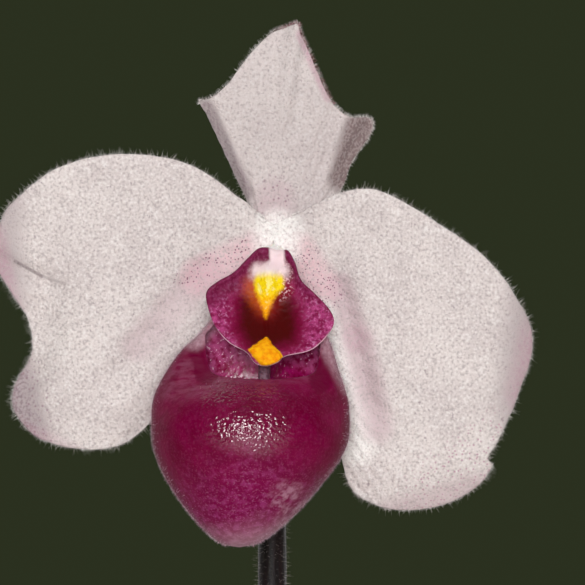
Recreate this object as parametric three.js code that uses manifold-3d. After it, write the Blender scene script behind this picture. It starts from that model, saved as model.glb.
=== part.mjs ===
// A potted slipper orchid in flower: a clay pot of bark chips, a rootstock with a fan of six
// leathery leaves, one hairy flower stalk, and one bloom with a dorsal sepal, a fused lower sepal,
// two broad petals, a hollow pouch-shaped lip and a column that carries a shield-like staminode.
//
// Millimetres, +Z up. The origin is the middle of the pot's flat foot. The bloom faces -Y.
import * as THREE from "three";
import { mergeVertices } from "three/addons/utils/BufferGeometryUtils.js";
import Module from "manifold-3d";

const wasm = await Module();
wasm.setup();

// Driving dimensions
const GAP = 0.35;
const POT_HEIGHT = 92;
const POT_FOOT_RADIUS = 37;
const POT_RIM_RADIUS = 54;
const POT_WALL = 4.5;
const POT_FLOOR = 6;
const POT_BAND_HEIGHT = 20;
const POT_BAND_STEP = 4;
const DRAIN_HOLES = 4;
const DRAIN_RADIUS = 4.5;
const DRAIN_REACH = 20;
const BARK_LEVEL = 78;
const CROWN_LEVEL = 80;
const STALK_TOP = new THREE.Vector3(-0.2, 7, 246);
const BLOOM = new THREE.Vector3(0, -13, 284);
const PETAL_THICKNESS = 0.8;
const SEPAL_THICKNESS = 0.9;
const LEAF_THICKNESS = 1.3;
const LIP_WALL = 0.9;

// Small maths
const radians = THREE.MathUtils.degToRad;
const smooth = THREE.MathUtils.smoothstep;
const lerp = THREE.MathUtils.lerp;

// A smooth bump of height 1 at middle that fades out over about reach to each side.
function bump(x, middle, reach) {
  return Math.exp(-(((x - middle) / reach) ** 2));
}

// A fold of height 1 along the line between two points, fading over about reach to each side of
// it and beyond its ends.
function fold(u, w, [from, to], reach) {
  const length = Math.hypot(to[0] - from[0], to[1] - from[1]);
  const alongU = (to[0] - from[0]) / length;
  const alongW = (to[1] - from[1]) / length;
  const along = (u - from[0]) * alongU + (w - from[1]) * alongW;
  const aside = (u - from[0]) * alongW - (w - from[1]) * alongU;
  const beyond = Math.max(-along, along - length, 0);
  return bump(aside, 0, reach) * bump(beyond, 0, 2 * reach);
}

// The same draws in the same order on every run.
function seededRandom(seed) {
  let state = seed;
  return () => {
    state = (state + 0x6d2b79f5) | 0;
    let mixed = Math.imul(state ^ (state >>> 15), 1 | state);
    mixed = (mixed + Math.imul(mixed ^ (mixed >>> 7), 61 | mixed)) ^ mixed;
    return ((mixed ^ (mixed >>> 14)) >>> 0) / 4294967296;
  };
}

// A smooth graph through [x, y] points whose x rises.
function graphThrough(points) {
  return (x) => {
    let i = 0;
    while (i < points.length - 2 && x > points[i + 1][0]) i += 1;
    const [x0, y0] = points[i];
    const [x1, y1] = points[i + 1];
    const before = points[Math.max(i - 1, 0)];
    const after = points[Math.min(i + 2, points.length - 1)];
    const span = x1 - x0;
    const slope0 = ((y1 - before[1]) / (x1 - before[0])) * span;
    const slope1 = ((after[1] - y0) / (after[0] - x0)) * span;
    const t = THREE.MathUtils.clamp((x - x0) / span, 0, 1);
    const t2 = t * t;
    const t3 = t2 * t;
    return (
      (2 * t3 - 3 * t2 + 1) * y0 + (t3 - 2 * t2 + t) * slope0 + (3 * t2 - 2 * t3) * y1 + (t3 - t2) * slope1
    );
  };
}

// Solids

// A closed geometry with its faces pointing out, from points and triangles.
function closedGeometry(points, triangles) {
  let volume = 0;
  for (const [a, b, c] of triangles) {
    volume += points[a].dot(points[b].clone().cross(points[c]));
  }
  const faces = volume < 0 ? triangles.map(([a, b, c]) => [a, c, b]) : triangles;
  const geometry = new THREE.BufferGeometry().setFromPoints(points);
  geometry.setIndex(faces.flat());
  return geometry;
}

// Joins ring k and ring k + 1 of a list of point rings, and closes each end with a fan.
function loftGeometry(rings) {
  const sides = rings[0].length;
  const points = rings.flat();
  const triangles = [];
  for (let k = 0; k < rings.length - 1; k += 1) {
    const here = k * sides;
    const next = here + sides;
    for (let i = 0; i < sides; i += 1) {
      const j = (i + 1) % sides;
      triangles.push([here + i, next + i, next + j], [here + i, next + j, here + j]);
    }
  }
  for (const [start, flip] of [[0, false], [(rings.length - 1) * sides, true]]) {
    const middle = new THREE.Vector3();
    for (let i = 0; i < sides; i += 1) middle.add(points[start + i]);
    points.push(middle.divideScalar(sides));
    const hub = points.length - 1;
    for (let i = 0; i < sides; i += 1) {
      const j = start + ((i + 1) % sides);
      triangles.push(flip ? [start + i, hub, j] : [start + i, j, hub]);
    }
  }
  return closedGeometry(points, triangles);
}

// A blade of even thickness round the surface pointAt(s, t), with s along it and t across it.
// Both faces are split into triangles alike.
function bladeGeometry(pointAt, rows, columns, thickness) {
  const step = 1e-3;
  const front = [];
  const back = [];
  for (let i = 0; i <= rows; i += 1) {
    for (let j = 0; j <= columns; j += 1) {
      const s = i / rows;
      const t = j / columns;
      const middle = pointAt(s, t);
      const along = pointAt(Math.min(s + step, 1), t).sub(pointAt(Math.max(s - step, 0), t));
      const across = pointAt(s, Math.min(t + step, 1)).sub(pointAt(s, Math.max(t - step, 0)));
      const normal = along.cross(across).normalize().multiplyScalar(thickness / 2);
      front.push(middle.clone().add(normal));
      back.push(middle.clone().sub(normal));
    }
  }
  const points = [...front, ...back];
  const shift = front.length;
  const wide = columns + 1;
  const triangles = [];
  for (let i = 0; i < rows; i += 1) {
    for (let j = 0; j < columns; j += 1) {
      const a = i * wide + j;
      const quad = [a, a + 1, a + wide + 1, a + wide];
      triangles.push([quad[0], quad[1], quad[2]], [quad[0], quad[2], quad[3]]);
      triangles.push(
        [quad[0] + shift, quad[2] + shift, quad[1] + shift],
        [quad[0] + shift, quad[3] + shift, quad[2] + shift],
      );
    }
  }
  const rim = [];
  for (let j = 0; j < columns; j += 1) rim.push(j);
  for (let i = 0; i < rows; i += 1) rim.push(i * wide + columns);
  for (let j = columns; j > 0; j -= 1) rim.push(rows * wide + j);
  for (let i = rows; i > 0; i -= 1) rim.push(i * wide);
  rim.forEach((a, k) => {
    const b = rim[(k + 1) % rim.length];
    triangles.push([a, a + shift, b + shift], [a, b + shift, b]);
  });
  return closedGeometry(points, triangles);
}

// A round rod along a curve, with its radius given along the curve, from 0 to 1.
function rodGeometry(curve, radiusAt, sides, steps) {
  const frames = curve.computeFrenetFrames(steps, false);
  const rings = [];
  for (let k = 0; k <= steps; k += 1) {
    const middle = curve.getPointAt(k / steps);
    const ring = [];
    for (let i = 0; i < sides; i += 1) {
      const angle = (i / sides) * 2 * Math.PI;
      const radius = radiusAt(k / steps, angle);
      ring.push(
        middle
          .clone()
          .addScaledVector(frames.normals[k], Math.cos(angle) * radius)
          .addScaledVector(frames.binormals[k], Math.sin(angle) * radius),
      );
    }
    rings.push(ring);
  }
  return loftGeometry(rings);
}

function curveThrough(...points) {
  return new THREE.CatmullRomCurve3(points.map((p) => new THREE.Vector3(...p)), false, "centripetal");
}

function solidOf(geometry) {
  const bare = geometry.clone();
  bare.deleteAttribute("normal");
  bare.deleteAttribute("uv");
  const merged = mergeVertices(bare, 1e-4);
  return new wasm.Manifold(
    new wasm.Mesh({
      numProp: 3,
      vertProperties: new Float32Array(merged.attributes.position.array),
      triVerts: new Uint32Array(merged.index.array),
    }),
  );
}

function geometryOf(solid) {
  const mesh = solid.getMesh();
  const geometry = new THREE.BufferGeometry();
  geometry.setAttribute("position", new THREE.BufferAttribute(mesh.vertProperties, 3));
  geometry.setIndex(new THREE.BufferAttribute(mesh.triVerts, 1));
  return geometry;
}

const orchid = new THREE.Group();

function addPiece(name, geometry, colour, roughness = 0.6, metalness = 0) {
  const material = new THREE.MeshStandardMaterial({ color: colour, roughness, metalness });
  const mesh = new THREE.Mesh(geometry, material);
  mesh.name = name;
  orchid.add(mesh);
}

// Pot: turned clay with a thick band round the rim, and four drain holes round the middle of
// its floor, so that the middle of the foot is solid.
function potInnerRadius(z) {
  return lerp(POT_FOOT_RADIUS, POT_RIM_RADIUS - POT_BAND_STEP, z / POT_HEIGHT) - POT_WALL;
}

function potGeometry() {
  const bandBottom = POT_HEIGHT - POT_BAND_HEIGHT;
  const bodyTop = potInnerRadius(bandBottom) + POT_WALL;
  const profile = [
    [0, 0],
    [POT_FOOT_RADIUS - 1, 0],
    [POT_FOOT_RADIUS, 1],
    [bodyTop, bandBottom],
    [POT_RIM_RADIUS - 1.6, bandBottom + 1],
    [POT_RIM_RADIUS - 0.4, bandBottom + 2.6],
    [POT_RIM_RADIUS, POT_HEIGHT - 2.2],
    [POT_RIM_RADIUS - 1.4, POT_HEIGHT - 0.3],
    [POT_RIM_RADIUS - 3.2, POT_HEIGHT],
    [potInnerRadius(POT_HEIGHT), POT_HEIGHT - 1.6],
    [potInnerRadius(POT_FLOOR), POT_FLOOR],
    [0, POT_FLOOR],
  ].map(([x, y]) => new THREE.Vector2(x, y));
  const body = new THREE.LatheGeometry(profile, 40);
  body.rotateX(Math.PI / 2);
  let pot = solidOf(body);
  for (let k = 0; k < DRAIN_HOLES; k += 1) {
    const angle = ((k + 0.5) / DRAIN_HOLES) * 2 * Math.PI;
    const drill = new THREE.CylinderGeometry(DRAIN_RADIUS, DRAIN_RADIUS, POT_FLOOR + 4, 12);
    drill.rotateX(Math.PI / 2);
    drill.translate(DRAIN_REACH * Math.cos(angle), DRAIN_REACH * Math.sin(angle), POT_FLOOR / 2);
    pot = pot.subtract(solidOf(drill));
  }
  return geometryOf(pot);
}

addPiece("pot", potGeometry(), 0xb5623c, 0.85);

// Rootstock: a short flat rhizome whose top carries the leaf bases, with thick roots that run
// down through the bark, two of them arching over its surface first.
const ROOTS = [
  { radius: 1.9, path: [[9, 2, 71], [20, 7, 62], [29, 12, 44], [31, 13, 24]] },
  { radius: 1.8, path: [[4, 4, 70], [9, 16, 60], [11, 28, 42], [12, 30, 22]] },
  { radius: 1.9, path: [[-6, 4, 70], [-15, 14, 60], [-23, 22, 40], [-24, 22, 20]] },
  { radius: 1.8, path: [[-9, -2, 71], [-20, -7, 60], [-29, -11, 42], [-30, -12, 22]] },
  { radius: 1.9, path: [[-3, -4, 70], [-7, -15, 58], [-10, -27, 40], [-10, -29, 20]] },
  { radius: 1.8, path: [[6, -4, 70], [14, -14, 60], [21, -22, 42], [22, -23, 22]] },
  { radius: 1.7, path: [[9, -3, 75], [15, -9.5, 80.6], [22, -15.5, 82.6], [29, -20, 78.5], [33, -22, 66]] },
  { radius: 1.6, path: [[-9, 3, 75], [-15, 9.5, 80.4], [-21, 16, 82.2], [-26, 22, 78], [-28, 25, 66]] },
];

// Extra is how much fatter than the root itself, for the way that it takes through the bark.
function rootGeometry(root, extra) {
  const curve = curveThrough(...root.path);
  const taper = (s) => lerp(root.radius, root.radius * 0.72, s) + extra;
  return rodGeometry(curve, taper, 6, root.path.length * 2);
}

function rhizomeGeometry(extra) {
  const sides = 14;
  const levels = [
    [60 - extra, 1.5, 1.5],
    [65, 7, 4],
    [71, 11.5, 6],
    [76, 14, 7],
    [CROWN_LEVEL + 8 * extra, 13.8, 7.2],
  ];
  return loftGeometry(
    levels.map(([z, halfLength, halfWidth]) =>
      Array.from({ length: sides }, (_, i) => {
        const angle = (i / sides) * 2 * Math.PI;
        const x = (halfLength + extra) * Math.cos(angle);
        return new THREE.Vector3(x, (halfWidth + extra) * Math.sin(angle), z);
      }),
    ),
  );
}

function rootstockSolid(extra) {
  let rootstock = solidOf(rhizomeGeometry(extra));
  for (const root of ROOTS) rootstock = rootstock.add(solidOf(rootGeometry(root, extra)));
  return rootstock;
}

addPiece("rootstock", geometryOf(rootstockSolid(0)), 0x6a5138, 0.9);

// Potting bark: one packed body that fills the pot, with loose-looking chips standing out of its
// top, a plain hole for the crown and a way through for each root.
const CHIP_COUNT = 48;
const CHIP_REACH = 38.5;
const CHIP_TILT = 28;
const CROWN_CLEAR = 17;
const BARK_CLEARANCE = GAP + 0.3;

// A broken chip: a block whose corners are drawn in by different amounts.
function chipGeometry(random) {
  const chip = new THREE.BoxGeometry(lerp(9, 16, random()), lerp(7, 11, random()), lerp(4, 7, random()));
  const corners = chip.attributes.position;
  const shares = new Map();
  for (let i = 0; i < corners.count; i += 1) {
    const corner = [corners.getX(i), corners.getY(i), corners.getZ(i)];
    const key = corner.join();
    if (!shares.has(key)) {
      shares.set(key, [lerp(0.62, 1, random()), lerp(0.62, 1, random()), lerp(0.5, 1, random())]);
    }
    const [x, y, z] = shares.get(key);
    corners.setXYZ(i, corner[0] * x, corner[1] * y, corner[2] * z);
  }
  chip.rotateX(radians(lerp(-CHIP_TILT, CHIP_TILT, random())));
  chip.rotateY(radians(lerp(-CHIP_TILT, CHIP_TILT, random())));
  chip.rotateZ(random() * 2 * Math.PI);
  return chip;
}

function barkGeometry() {
  const bottom = POT_FLOOR + GAP;
  const top = BARK_LEVEL;
  const profile = [
    [0, bottom],
    [potInnerRadius(bottom) - BARK_CLEARANCE, bottom],
    [potInnerRadius(top) - BARK_CLEARANCE, top - 1.5],
    [potInnerRadius(top) - 3, top - 0.5],
    [0, top + 0.5],
  ].map(([x, y]) => new THREE.Vector2(x, y));
  const body = new THREE.LatheGeometry(profile, 36);
  body.rotateX(Math.PI / 2);
  let bark = solidOf(body);
  const random = seededRandom(11);
  const turn = radians(137.5);
  for (let k = 0; k < CHIP_COUNT; k += 1) {
    const reach = Math.sqrt(lerp(CROWN_CLEAR ** 2, CHIP_REACH ** 2, (k + 0.5) / CHIP_COUNT));
    const angle = k * turn;
    const chip = chipGeometry(random);
    chip.translate(reach * Math.cos(angle), reach * Math.sin(angle), BARK_LEVEL + lerp(-0.3, 1.6, random()));
    bark = bark.add(solidOf(chip));
  }
  const roomTop = POT_HEIGHT + 10;
  const roomRadius = (z) => potInnerRadius(z) - BARK_CLEARANCE;
  const room = new THREE.CylinderGeometry(roomRadius(roomTop), roomRadius(0), roomTop, 36);
  room.rotateX(Math.PI / 2);
  room.translate(0, 0, roomTop / 2);
  bark = bark.intersect(solidOf(room));
  const holeDepth = 20;
  const crownHole = new THREE.CylinderGeometry(1, 1, holeDepth, 18);
  crownHole.rotateX(Math.PI / 2);
  crownHole.scale(16, 9.5, 1);
  crownHole.translate(0, 0, CROWN_LEVEL - 1 + holeDepth / 2);
  bark = bark.subtract(solidOf(crownHole)).subtract(rootstockSolid(GAP));
  const pieces = bark.decompose();
  pieces.sort((a, b) => b.volume() - a.volume());
  return geometryOf(pieces[0]);
}

addPiece("potting_bark", barkGeometry(), 0x6b4630, 0.95);

// Leaves: a fan in two opposite rows. Each is folded into a keel where it leaves the crown, so
// that the bases nest one inside the next, and opens into a broad blade that arches outwards.
const LEAF_BASE_LEVEL = CROWN_LEVEL + 0.9;
const LEAVES = [
  { length: 106, halfWidth: 19, rise: 56, dip: -30, turn: -7, roll: -7 },
  { length: 112, halfWidth: 20, rise: 58, dip: -26, turn: -9, roll: 6 },
  { length: 116, halfWidth: 19.5, rise: 70, dip: -6, turn: 12, roll: 8 },
  { length: 108, halfWidth: 19, rise: 72, dip: 0, turn: 11, roll: -8 },
  { length: 88, halfWidth: 16, rise: 79, dip: 34, turn: -5, roll: -4 },
  { length: 76, halfWidth: 14, rise: 81, dip: 42, turn: -4, roll: 4 },
].map((leaf, k) => {
  const pair = Math.floor(k / 2);
  return { ...leaf, side: k % 2 === 0 ? 1 : -1, keel: 12.6 - 3 * pair, base: [8.6, 7.2, 5.2][pair] };
});

// The leaf's width from its midrib, and the angle that each half is folded up by.
function leafHalfWidth(leaf, s) {
  return leaf.base * (1 - s) ** 3 + leaf.halfWidth * Math.sin(Math.PI * (0.01 + 0.98 * s ** 1.15)) ** 0.75;
}

function leafFold(s) {
  return radians(lerp(58, 13, smooth(s, 0, 0.42)) - 6 * smooth(s, 0.6, 1));
}

function leafSurface(leaf) {
  const steps = 120;
  const spine = [];
  const at = new THREE.Vector3(leaf.side * leaf.keel, 0, LEAF_BASE_LEVEL);
  for (let k = 0; k <= steps; k += 1) {
    const s = k / steps;
    const slope = radians(lerp(leaf.rise, leaf.dip, smooth(s, 0.02, 1.15)));
    const azimuth = radians(leaf.turn) * smooth(s, 0.12, 0.6);
    const forward = new THREE.Vector3(
      leaf.side * Math.cos(slope) * Math.cos(azimuth),
      Math.cos(slope) * Math.sin(azimuth),
      Math.sin(slope),
    );
    const level = new THREE.Vector3(-leaf.side * Math.sin(azimuth), Math.cos(azimuth), 0);
    const inward = forward.clone().cross(level).multiplyScalar(leaf.side);
    const roll = radians(leaf.roll) * smooth(s, 0.2, 0.8);
    const across = level.clone().multiplyScalar(Math.cos(roll)).addScaledVector(inward, Math.sin(roll));
    const lift = inward.clone().multiplyScalar(Math.cos(roll)).addScaledVector(level, -Math.sin(roll));
    spine.push({ at: at.clone(), across, lift });
    at.addScaledVector(forward, leaf.length / steps);
  }
  return (s, t) => {
    const k = Math.min(Math.floor(s * steps), steps - 1);
    const part = s * steps - k;
    const middle = spine[k].at.clone().lerp(spine[k + 1].at, part);
    const across = spine[k].across.clone().lerp(spine[k + 1].across, part);
    const lift = spine[k].lift.clone().lerp(spine[k + 1].lift, part);
    const share = 2 * t - 1;
    const half = leafHalfWidth(leaf, s);
    const folded = leafFold(s);
    const rounded = Math.sqrt(share ** 2 + 0.01) - 0.1;
    const droop = 2.2 * share ** 4 * smooth(s, 0.4, 0.8);
    const wave = 0.9 * smooth(s, 0.25, 0.6) * share ** 2 * Math.sin(9 * s + 2 * share + leaf.keel);
    return middle
      .addScaledVector(across, half * share * Math.cos(folded))
      .addScaledVector(lift, half * rounded * Math.sin(folded) - droop + wave);
  };
}

LEAVES.forEach((leaf, k) => {
  addPiece(`leaf_${k + 1}`, bladeGeometry(leafSurface(leaf), 18, 6, LEAF_THICKNESS), 0x4a6b3a, 0.45);
});

// Stalk, bract and ovary: the stalk rises out of the innermost leaves. The bract is a small
// folded leaf that sheathes the foot of the ribbed ovary, which arches forward to the bloom.
const stalkCurve = curveThrough(
  [0, 0, CROWN_LEVEL + 0.6],
  [0.3, 1.2, 125],
  [-0.6, 4.2, 180],
  [-0.2, 6.6, 225],
  STALK_TOP.toArray(),
);
addPiece("stalk", rodGeometry(stalkCurve, (s) => lerp(2.45, 2.15, s), 10, 16), 0x4a2a35, 0.7);

const ovaryCurve = curveThrough(
  [STALK_TOP.x, STALK_TOP.y, STALK_TOP.z + GAP],
  [-0.1, 7, 258],
  [0, 4.6, 270],
  [0, -1.5, 279],
  [0, BLOOM.y + 5.5, BLOOM.z - 2.4],
  [0, BLOOM.y + 2.6, BLOOM.z - 2.6],
);

// Six low ribs run along the ovary, and it widens at its end to carry the bloom.
function ovaryRadius(s, angle) {
  const swell = 2.0 + 0.75 * Math.sin(Math.PI * Math.min(s / 0.9, 1)) + 1.2 * smooth(s, 0.88, 1);
  return swell * (1 + 0.06 * Math.cos(6 * angle));
}
addPiece("ovary", rodGeometry(ovaryCurve, ovaryRadius, 12, 14), 0x6d5a4a, 0.7);

// The bract wraps most of the way round at its foot and opens to a point behind the ovary.
const BRACT_LENGTH = 21;
const BRACT_THICKNESS = 0.8;

function bractSurface(s, t) {
  const spread = radians(lerp(118, 8, smooth(s, 0.15, 1.05)));
  const angle = (2 * t - 1) * spread;
  const radius = 3.5 + 1.6 * s + 0.9 * smooth(s, 0.6, 1);
  return new THREE.Vector3(
    ovaryCurve.getPointAt(0.42 * s).x + radius * Math.sin(angle),
    STALK_TOP.y + radius * Math.cos(angle) + 1.4 * s ** 2,
    STALK_TOP.z - 2 + BRACT_LENGTH * s,
  );
}
addPiece("bract", bladeGeometry(bractSurface, 8, 8, BRACT_THICKNESS), 0x5c5a3a, 0.6);

// Bloom pieces are laid out from where they join: u to the viewer's right, w up and h towards
// the viewer.
function inBloom(u, h, w) {
  return new THREE.Vector3(BLOOM.x + u, BLOOM.y - h, BLOOM.z + w);
}

// A petal or sepal: its outline runs from one end of its base round to the other, and each point
// of its surface lies a share s of the way from the base out to the outline.
function bloomBladeGeometry({ outline, base, depth, rows, thickness }) {
  const edge = new THREE.SplineCurve(outline.map(([u, w]) => new THREE.Vector2(u, w)));
  const surface = (s, t) => {
    const rim = edge.getPoint(t);
    const u = lerp(lerp(base[0][0], base[1][0], t), rim.x, s);
    const w = lerp(lerp(base[0][1], base[1][1], t), rim.y, s);
    return inBloom(u, depth(u, w), w);
  };
  return bladeGeometry(surface, rows, outline.length - 1, thickness);
}

// Dorsal sepal: a shallow hood with a keel down from its tip. Its left margin is turned back and
// its right corner is cupped forward.
const dorsalSepal = {
  rows: 8,
  thickness: SEPAL_THICKNESS,
  base: [[-1.3, -0.5], [1.3, -0.5]],
  outline: [
    [-2, 2.4], [-4.2, 5.6], [-6.2, 10], [-8.2, 15.2], [-9.9, 18], [-11, 19.5], [-9.2, 20.1],
    [-6.8, 22.1], [-3.5, 26.5], [-0.5, 29.5], [1.8, 30.5], [3.6, 31], [4.1, 29.6], [5.2, 27.3],
    [6.8, 23.5], [8.2, 20.5], [9.8, 18.3], [11.6, 17.2], [14.2, 17], [14.9, 16.1], [14.5, 14.5],
    [13, 12.3], [11.5, 10], [10.5, 7], [9, 5], [5.6, 2.6], [2.4, 0.6],
  ],
  depth: (u, w) =>
    -1.7 +
    3.6 * smooth(w, 3, 27) +
    0.012 * (u - 0.1 * w) ** 2 +
    0.8 * fold(u, w, [[3.6, 31], [1.6, 19]], 1.4) -
    2.2 * fold(u, w, [[-4.6, 5.4], [-11.4, 19.8]], 1.5) +
    2.2 * fold(u, w, [[15.6, 15.6], [11.6, 6.4]], 2.6) -
    1.2 * fold(u, w, [[9.8, 15.6], [8, 8]], 2.4),
};
addPiece("dorsal_sepal", bloomBladeGeometry(dorsalSepal), 0xdccdcc, 0.7);

// Synsepal: the two lower sepals, grown into one blade that hangs behind the lip.
const synsepal = {
  rows: 7,
  thickness: SEPAL_THICKNESS,
  base: [[-1.4, -3.6], [1.4, -3.6]],
  outline: [
    [-2.2, -5.2], [-5.6, -9], [-8.8, -14.6], [-10, -21.4], [-8.4, -28.2], [-5.4, -32.6], [-3, -34.6],
    [-1, -34], [0.6, -34.8], [3.4, -33], [6.4, -28.4], [8, -21.6], [7.2, -14.6], [4.8, -9],
    [2.2, -5.2],
  ],
  depth: (u, w) =>
    -1.65 -
    5 * smooth(-w, 6, 34) +
    0.03 * (u + 1) ** 2 -
    0.6 * fold(u, w, [[0, -8], [-1, -36]], 1.5),
};
addPiece("synsepal", bloomBladeGeometry(synsepal), 0xd8c9c6, 0.7);

// Petals: broad blades that dome towards the viewer and whose inner margins fall back to pass
// behind the lip. How far the dome has risen is set by the distance in from that margin.
function petalDome(u, w, margin, height) {
  const [from, to] = margin;
  const length = Math.hypot(to[0] - from[0], to[1] - from[1]);
  const crossed = (u - from[0]) * (to[1] - from[1]) - (w - from[1]) * (to[0] - from[0]);
  const inFromMargin = Math.abs(crossed) / length;
  const reach = Math.hypot(u, w + 2.5) / 44;
  return (height * Math.sin(1.95 * reach) - 2 * reach ** 3) * smooth(inFromMargin, -3, 7);
}

// The left petal has a channel beside the lip, and a dented outer edge with a crease above.
const leftPetal = {
  rows: 7,
  thickness: PETAL_THICKNESS,
  base: [[-1.2, 0.8], [-1.7, -5.6]],
  outline: [
    [-2.6, 2.6], [-4.9, 4.8], [-9, 8.1], [-13.5, 10.4], [-18.5, 11.4], [-24, 11.5], [-29, 10.6],
    [-33.5, 8.8], [-37.4, 5.7], [-40.3, 2.6], [-41.5, -1.4], [-41.2, -5.6], [-39, -9.2],
    [-36.8, -12.8], [-36, -16.6], [-36.5, -19.2], [-38.3, -22], [-39.2, -25.2], [-38.1, -28],
    [-34.8, -31], [-29, -32.5], [-23.4, -32.1], [-19.7, -29.8], [-15.6, -25.4], [-11.6, -20],
    [-7.6, -13.8], [-4.4, -8.8],
  ],
  depth: (u, w) =>
    0.3 +
    petalDome(u, w, [[-2.7, -5.6], [-19.7, -29.8]], 4.2) -
    1.3 * fold(u, w, [[-11, -6], [-21, -19]], 2.6) -
    1 * fold(u, w, [[-42, -3.6], [-34, -7.2]], 1.3) -
    1.9 * fold(u, w, [[-35, -14], [-36.5, -19]], 4),
};
addPiece("petal_left", bloomBladeGeometry(leftPetal), 0xe0d4d3, 0.7);

// The right petal folds back sharply along its inner margin, and has a torn notch low down.
const rightPetal = {
  rows: 7,
  thickness: PETAL_THICKNESS,
  base: [[1.2, 0.8], [1.7, -5.4]],
  outline: [
    [2.6, 2.2], [5.4, 3.6], [9, 5.4], [12.4, 6.3], [15.4, 6.2], [19.4, 4.5], [25, 1], [30.2, -2.6],
    [34, -6.4], [36.6, -10.4], [38.5, -14], [38.7, -18.6], [37.2, -22.8], [35.5, -27.4], [33.6, -31.4],
    [32.1, -33.8], [32.8, -35.2], [30.6, -38.2], [26.6, -40.5], [22, -41.6], [17, -41.4],
    [12.6, -39.4], [10.9, -36.4], [10.5, -33], [8.8, -27.4], [7, -21], [5.4, -14.6], [4, -9],
  ],
  depth: (u, w) =>
    0.3 +
    petalDome(u, w, [[2.7, -5.4], [10.8, -36]], 4.8) +
    0.9 * fold(u, w, [[8, -8], [14.2, -27]], 1.9) -
    1.2 * fold(u, w, [[39.5, -13], [39, -22]], 3) -
    1.4 * fold(u, w, [[31, -40], [20, -43]], 3),
};
addPiece("petal_right", bloomBladeGeometry(rightPetal), 0xe0d4d3, 0.7);

// Lip: a hollow egg-shaped pouch with a thin wall. Its mouth opens up and forward under the
// column, low and nearly level across the front, steep at the sides and high behind.
const POUCH_FOOT = -46.6;
const POUCH_HEIGHT = 31.6;
const POUCH_DEPTH = 11;
const pouchHalfWidth = graphThrough([
  [0, 0], [0.012, 2.1], [0.05, 4.2], [0.125, 6.8], [0.24, 9.9], [0.39, 13], [0.5, 14.4], [0.62, 14.6],
  [0.71, 14.3], [0.84, 12.6], [0.93, 11.1], [1, 9.4],
]);
const pouchFront = graphThrough([
  [0, 0], [0.012, 2], [0.05, 3.9], [0.125, 6], [0.24, 8.7], [0.4, 11.2], [0.6, 12.6], [0.75, 12.1],
  [0.88, 10], [1, 6.6],
]);
const pouchBack = graphThrough([
  [0, 0], [0.012, 1.7], [0.05, 3.2], [0.125, 4.8], [0.24, 6.4], [0.4, 7.5], [0.6, 7.9], [0.8, 7.9],
  [1, 8],
]);
const pouchMiddle = graphThrough([
  [0, -5], [0.1, -4.6], [0.3, -4], [0.5, -3.3], [0.75, -3.2], [0.9, -2.5], [1, -1.4],
]);
// How much higher than its sides the mouth is, from behind at -1 to the front at 1.
const mouthLift = graphThrough([[-1, 7], [-0.5, 1.2], [0, -0.8], [0.25, -3.5], [0.5, -5.9], [1, -7]]);

// A point of the pouch, with level from 0 at its foot to 1 at its rim. Angle 0 faces the viewer.
function pouchPoint(level, angle, inset, lift) {
  const facing = Math.cos(angle);
  const claw = 0.9 * bump(Math.abs(angle - Math.PI), 0, 0.5);
  const height = POUCH_HEIGHT + (claw + mouthLift(facing)) * level;
  const reach = facing > 0 ? pouchFront(level) : pouchBack(level);
  return inBloom(
    pouchMiddle(level) + (pouchHalfWidth(level) - inset) * Math.sin(angle),
    POUCH_DEPTH + (reach - inset) * facing,
    POUCH_FOOT + height * level + lift,
  );
}

function lipGeometry() {
  const sides = 30;
  const ringAt = (level, inset, lift) =>
    Array.from({ length: sides }, (_, i) => pouchPoint(level, (i / sides) * 2 * Math.PI, inset, lift));
  const outside = [0.012, 0.05, 0.12, 0.21, 0.32, 0.45, 0.58, 0.7, 0.8, 0.89, 0.96, 1];
  const inside = [0.93, 0.8, 0.62, 0.45, 0.3, 0.18, 0.1];
  return loftGeometry([
    ...outside.map((level) => ringAt(level, 0, 0)),
    ringAt(1, 0.35, 0.3),
    ringAt(1, 0.95, 0.1),
    ringAt(1, 1.05, -0.9),
    ...inside.map((level) => ringAt(level, LIP_WALL + 0.15, 0.35)),
  ]);
}
addPiece("lip", lipGeometry(), 0x8a1f55, 0.4);

// Column and staminode: a short pale column that ends in a broad shield with a hollowed face, a
// raised yellow keel above and a blunt yellow tongue below, over a small stigma.
const SHIELD_MIDDLE = [-0.7, -10.8];
const SHIELD_TOP = [-2.4, 8];
const SHIELD_BOTTOM = [-19.2, 14.6];
const SHIELD_THICKNESS = 0.9;
const shieldOutline = [
  [0.5, -2.8], [-0.8, -2.4], [-2.2, -2.6], [-3.9, -4.2], [-5.8, -6.1], [-8.2, -7.5], [-9.7, -8.9],
  [-9.6, -10.9], [-8.4, -14.1], [-6.4, -16.4], [-3.8, -17.9], [-2.6, -19.4], [-1, -19.9], [0.8, -19.3],
  [2, -18.4], [5.4, -17.6], [7.6, -15.9], [9, -13.6], [8.4, -11.6], [6.2, -9.2], [4.2, -7.2],
  [3.3, -4.6], [2.3, -2.9], [1.3, -2.8],
];

// The shield leans back towards its top and is hollowed like a dish.
function shieldDepth(w, share) {
  const down = (w - SHIELD_TOP[0]) / (SHIELD_BOTTOM[0] - SHIELD_TOP[0]);
  return lerp(SHIELD_TOP[1], SHIELD_BOTTOM[1], down) + 1.8 * share ** 2 - 1;
}

// What stands out of its face: the keel and the tongue.
function shieldRelief(u, w) {
  return 1.5 * bump(u, -0.6, 1.5) * bump(w, -7.4, 3) + 1.2 * bump(u, -1, 2.2) * bump(w, -17.9, 2);
}

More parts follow.
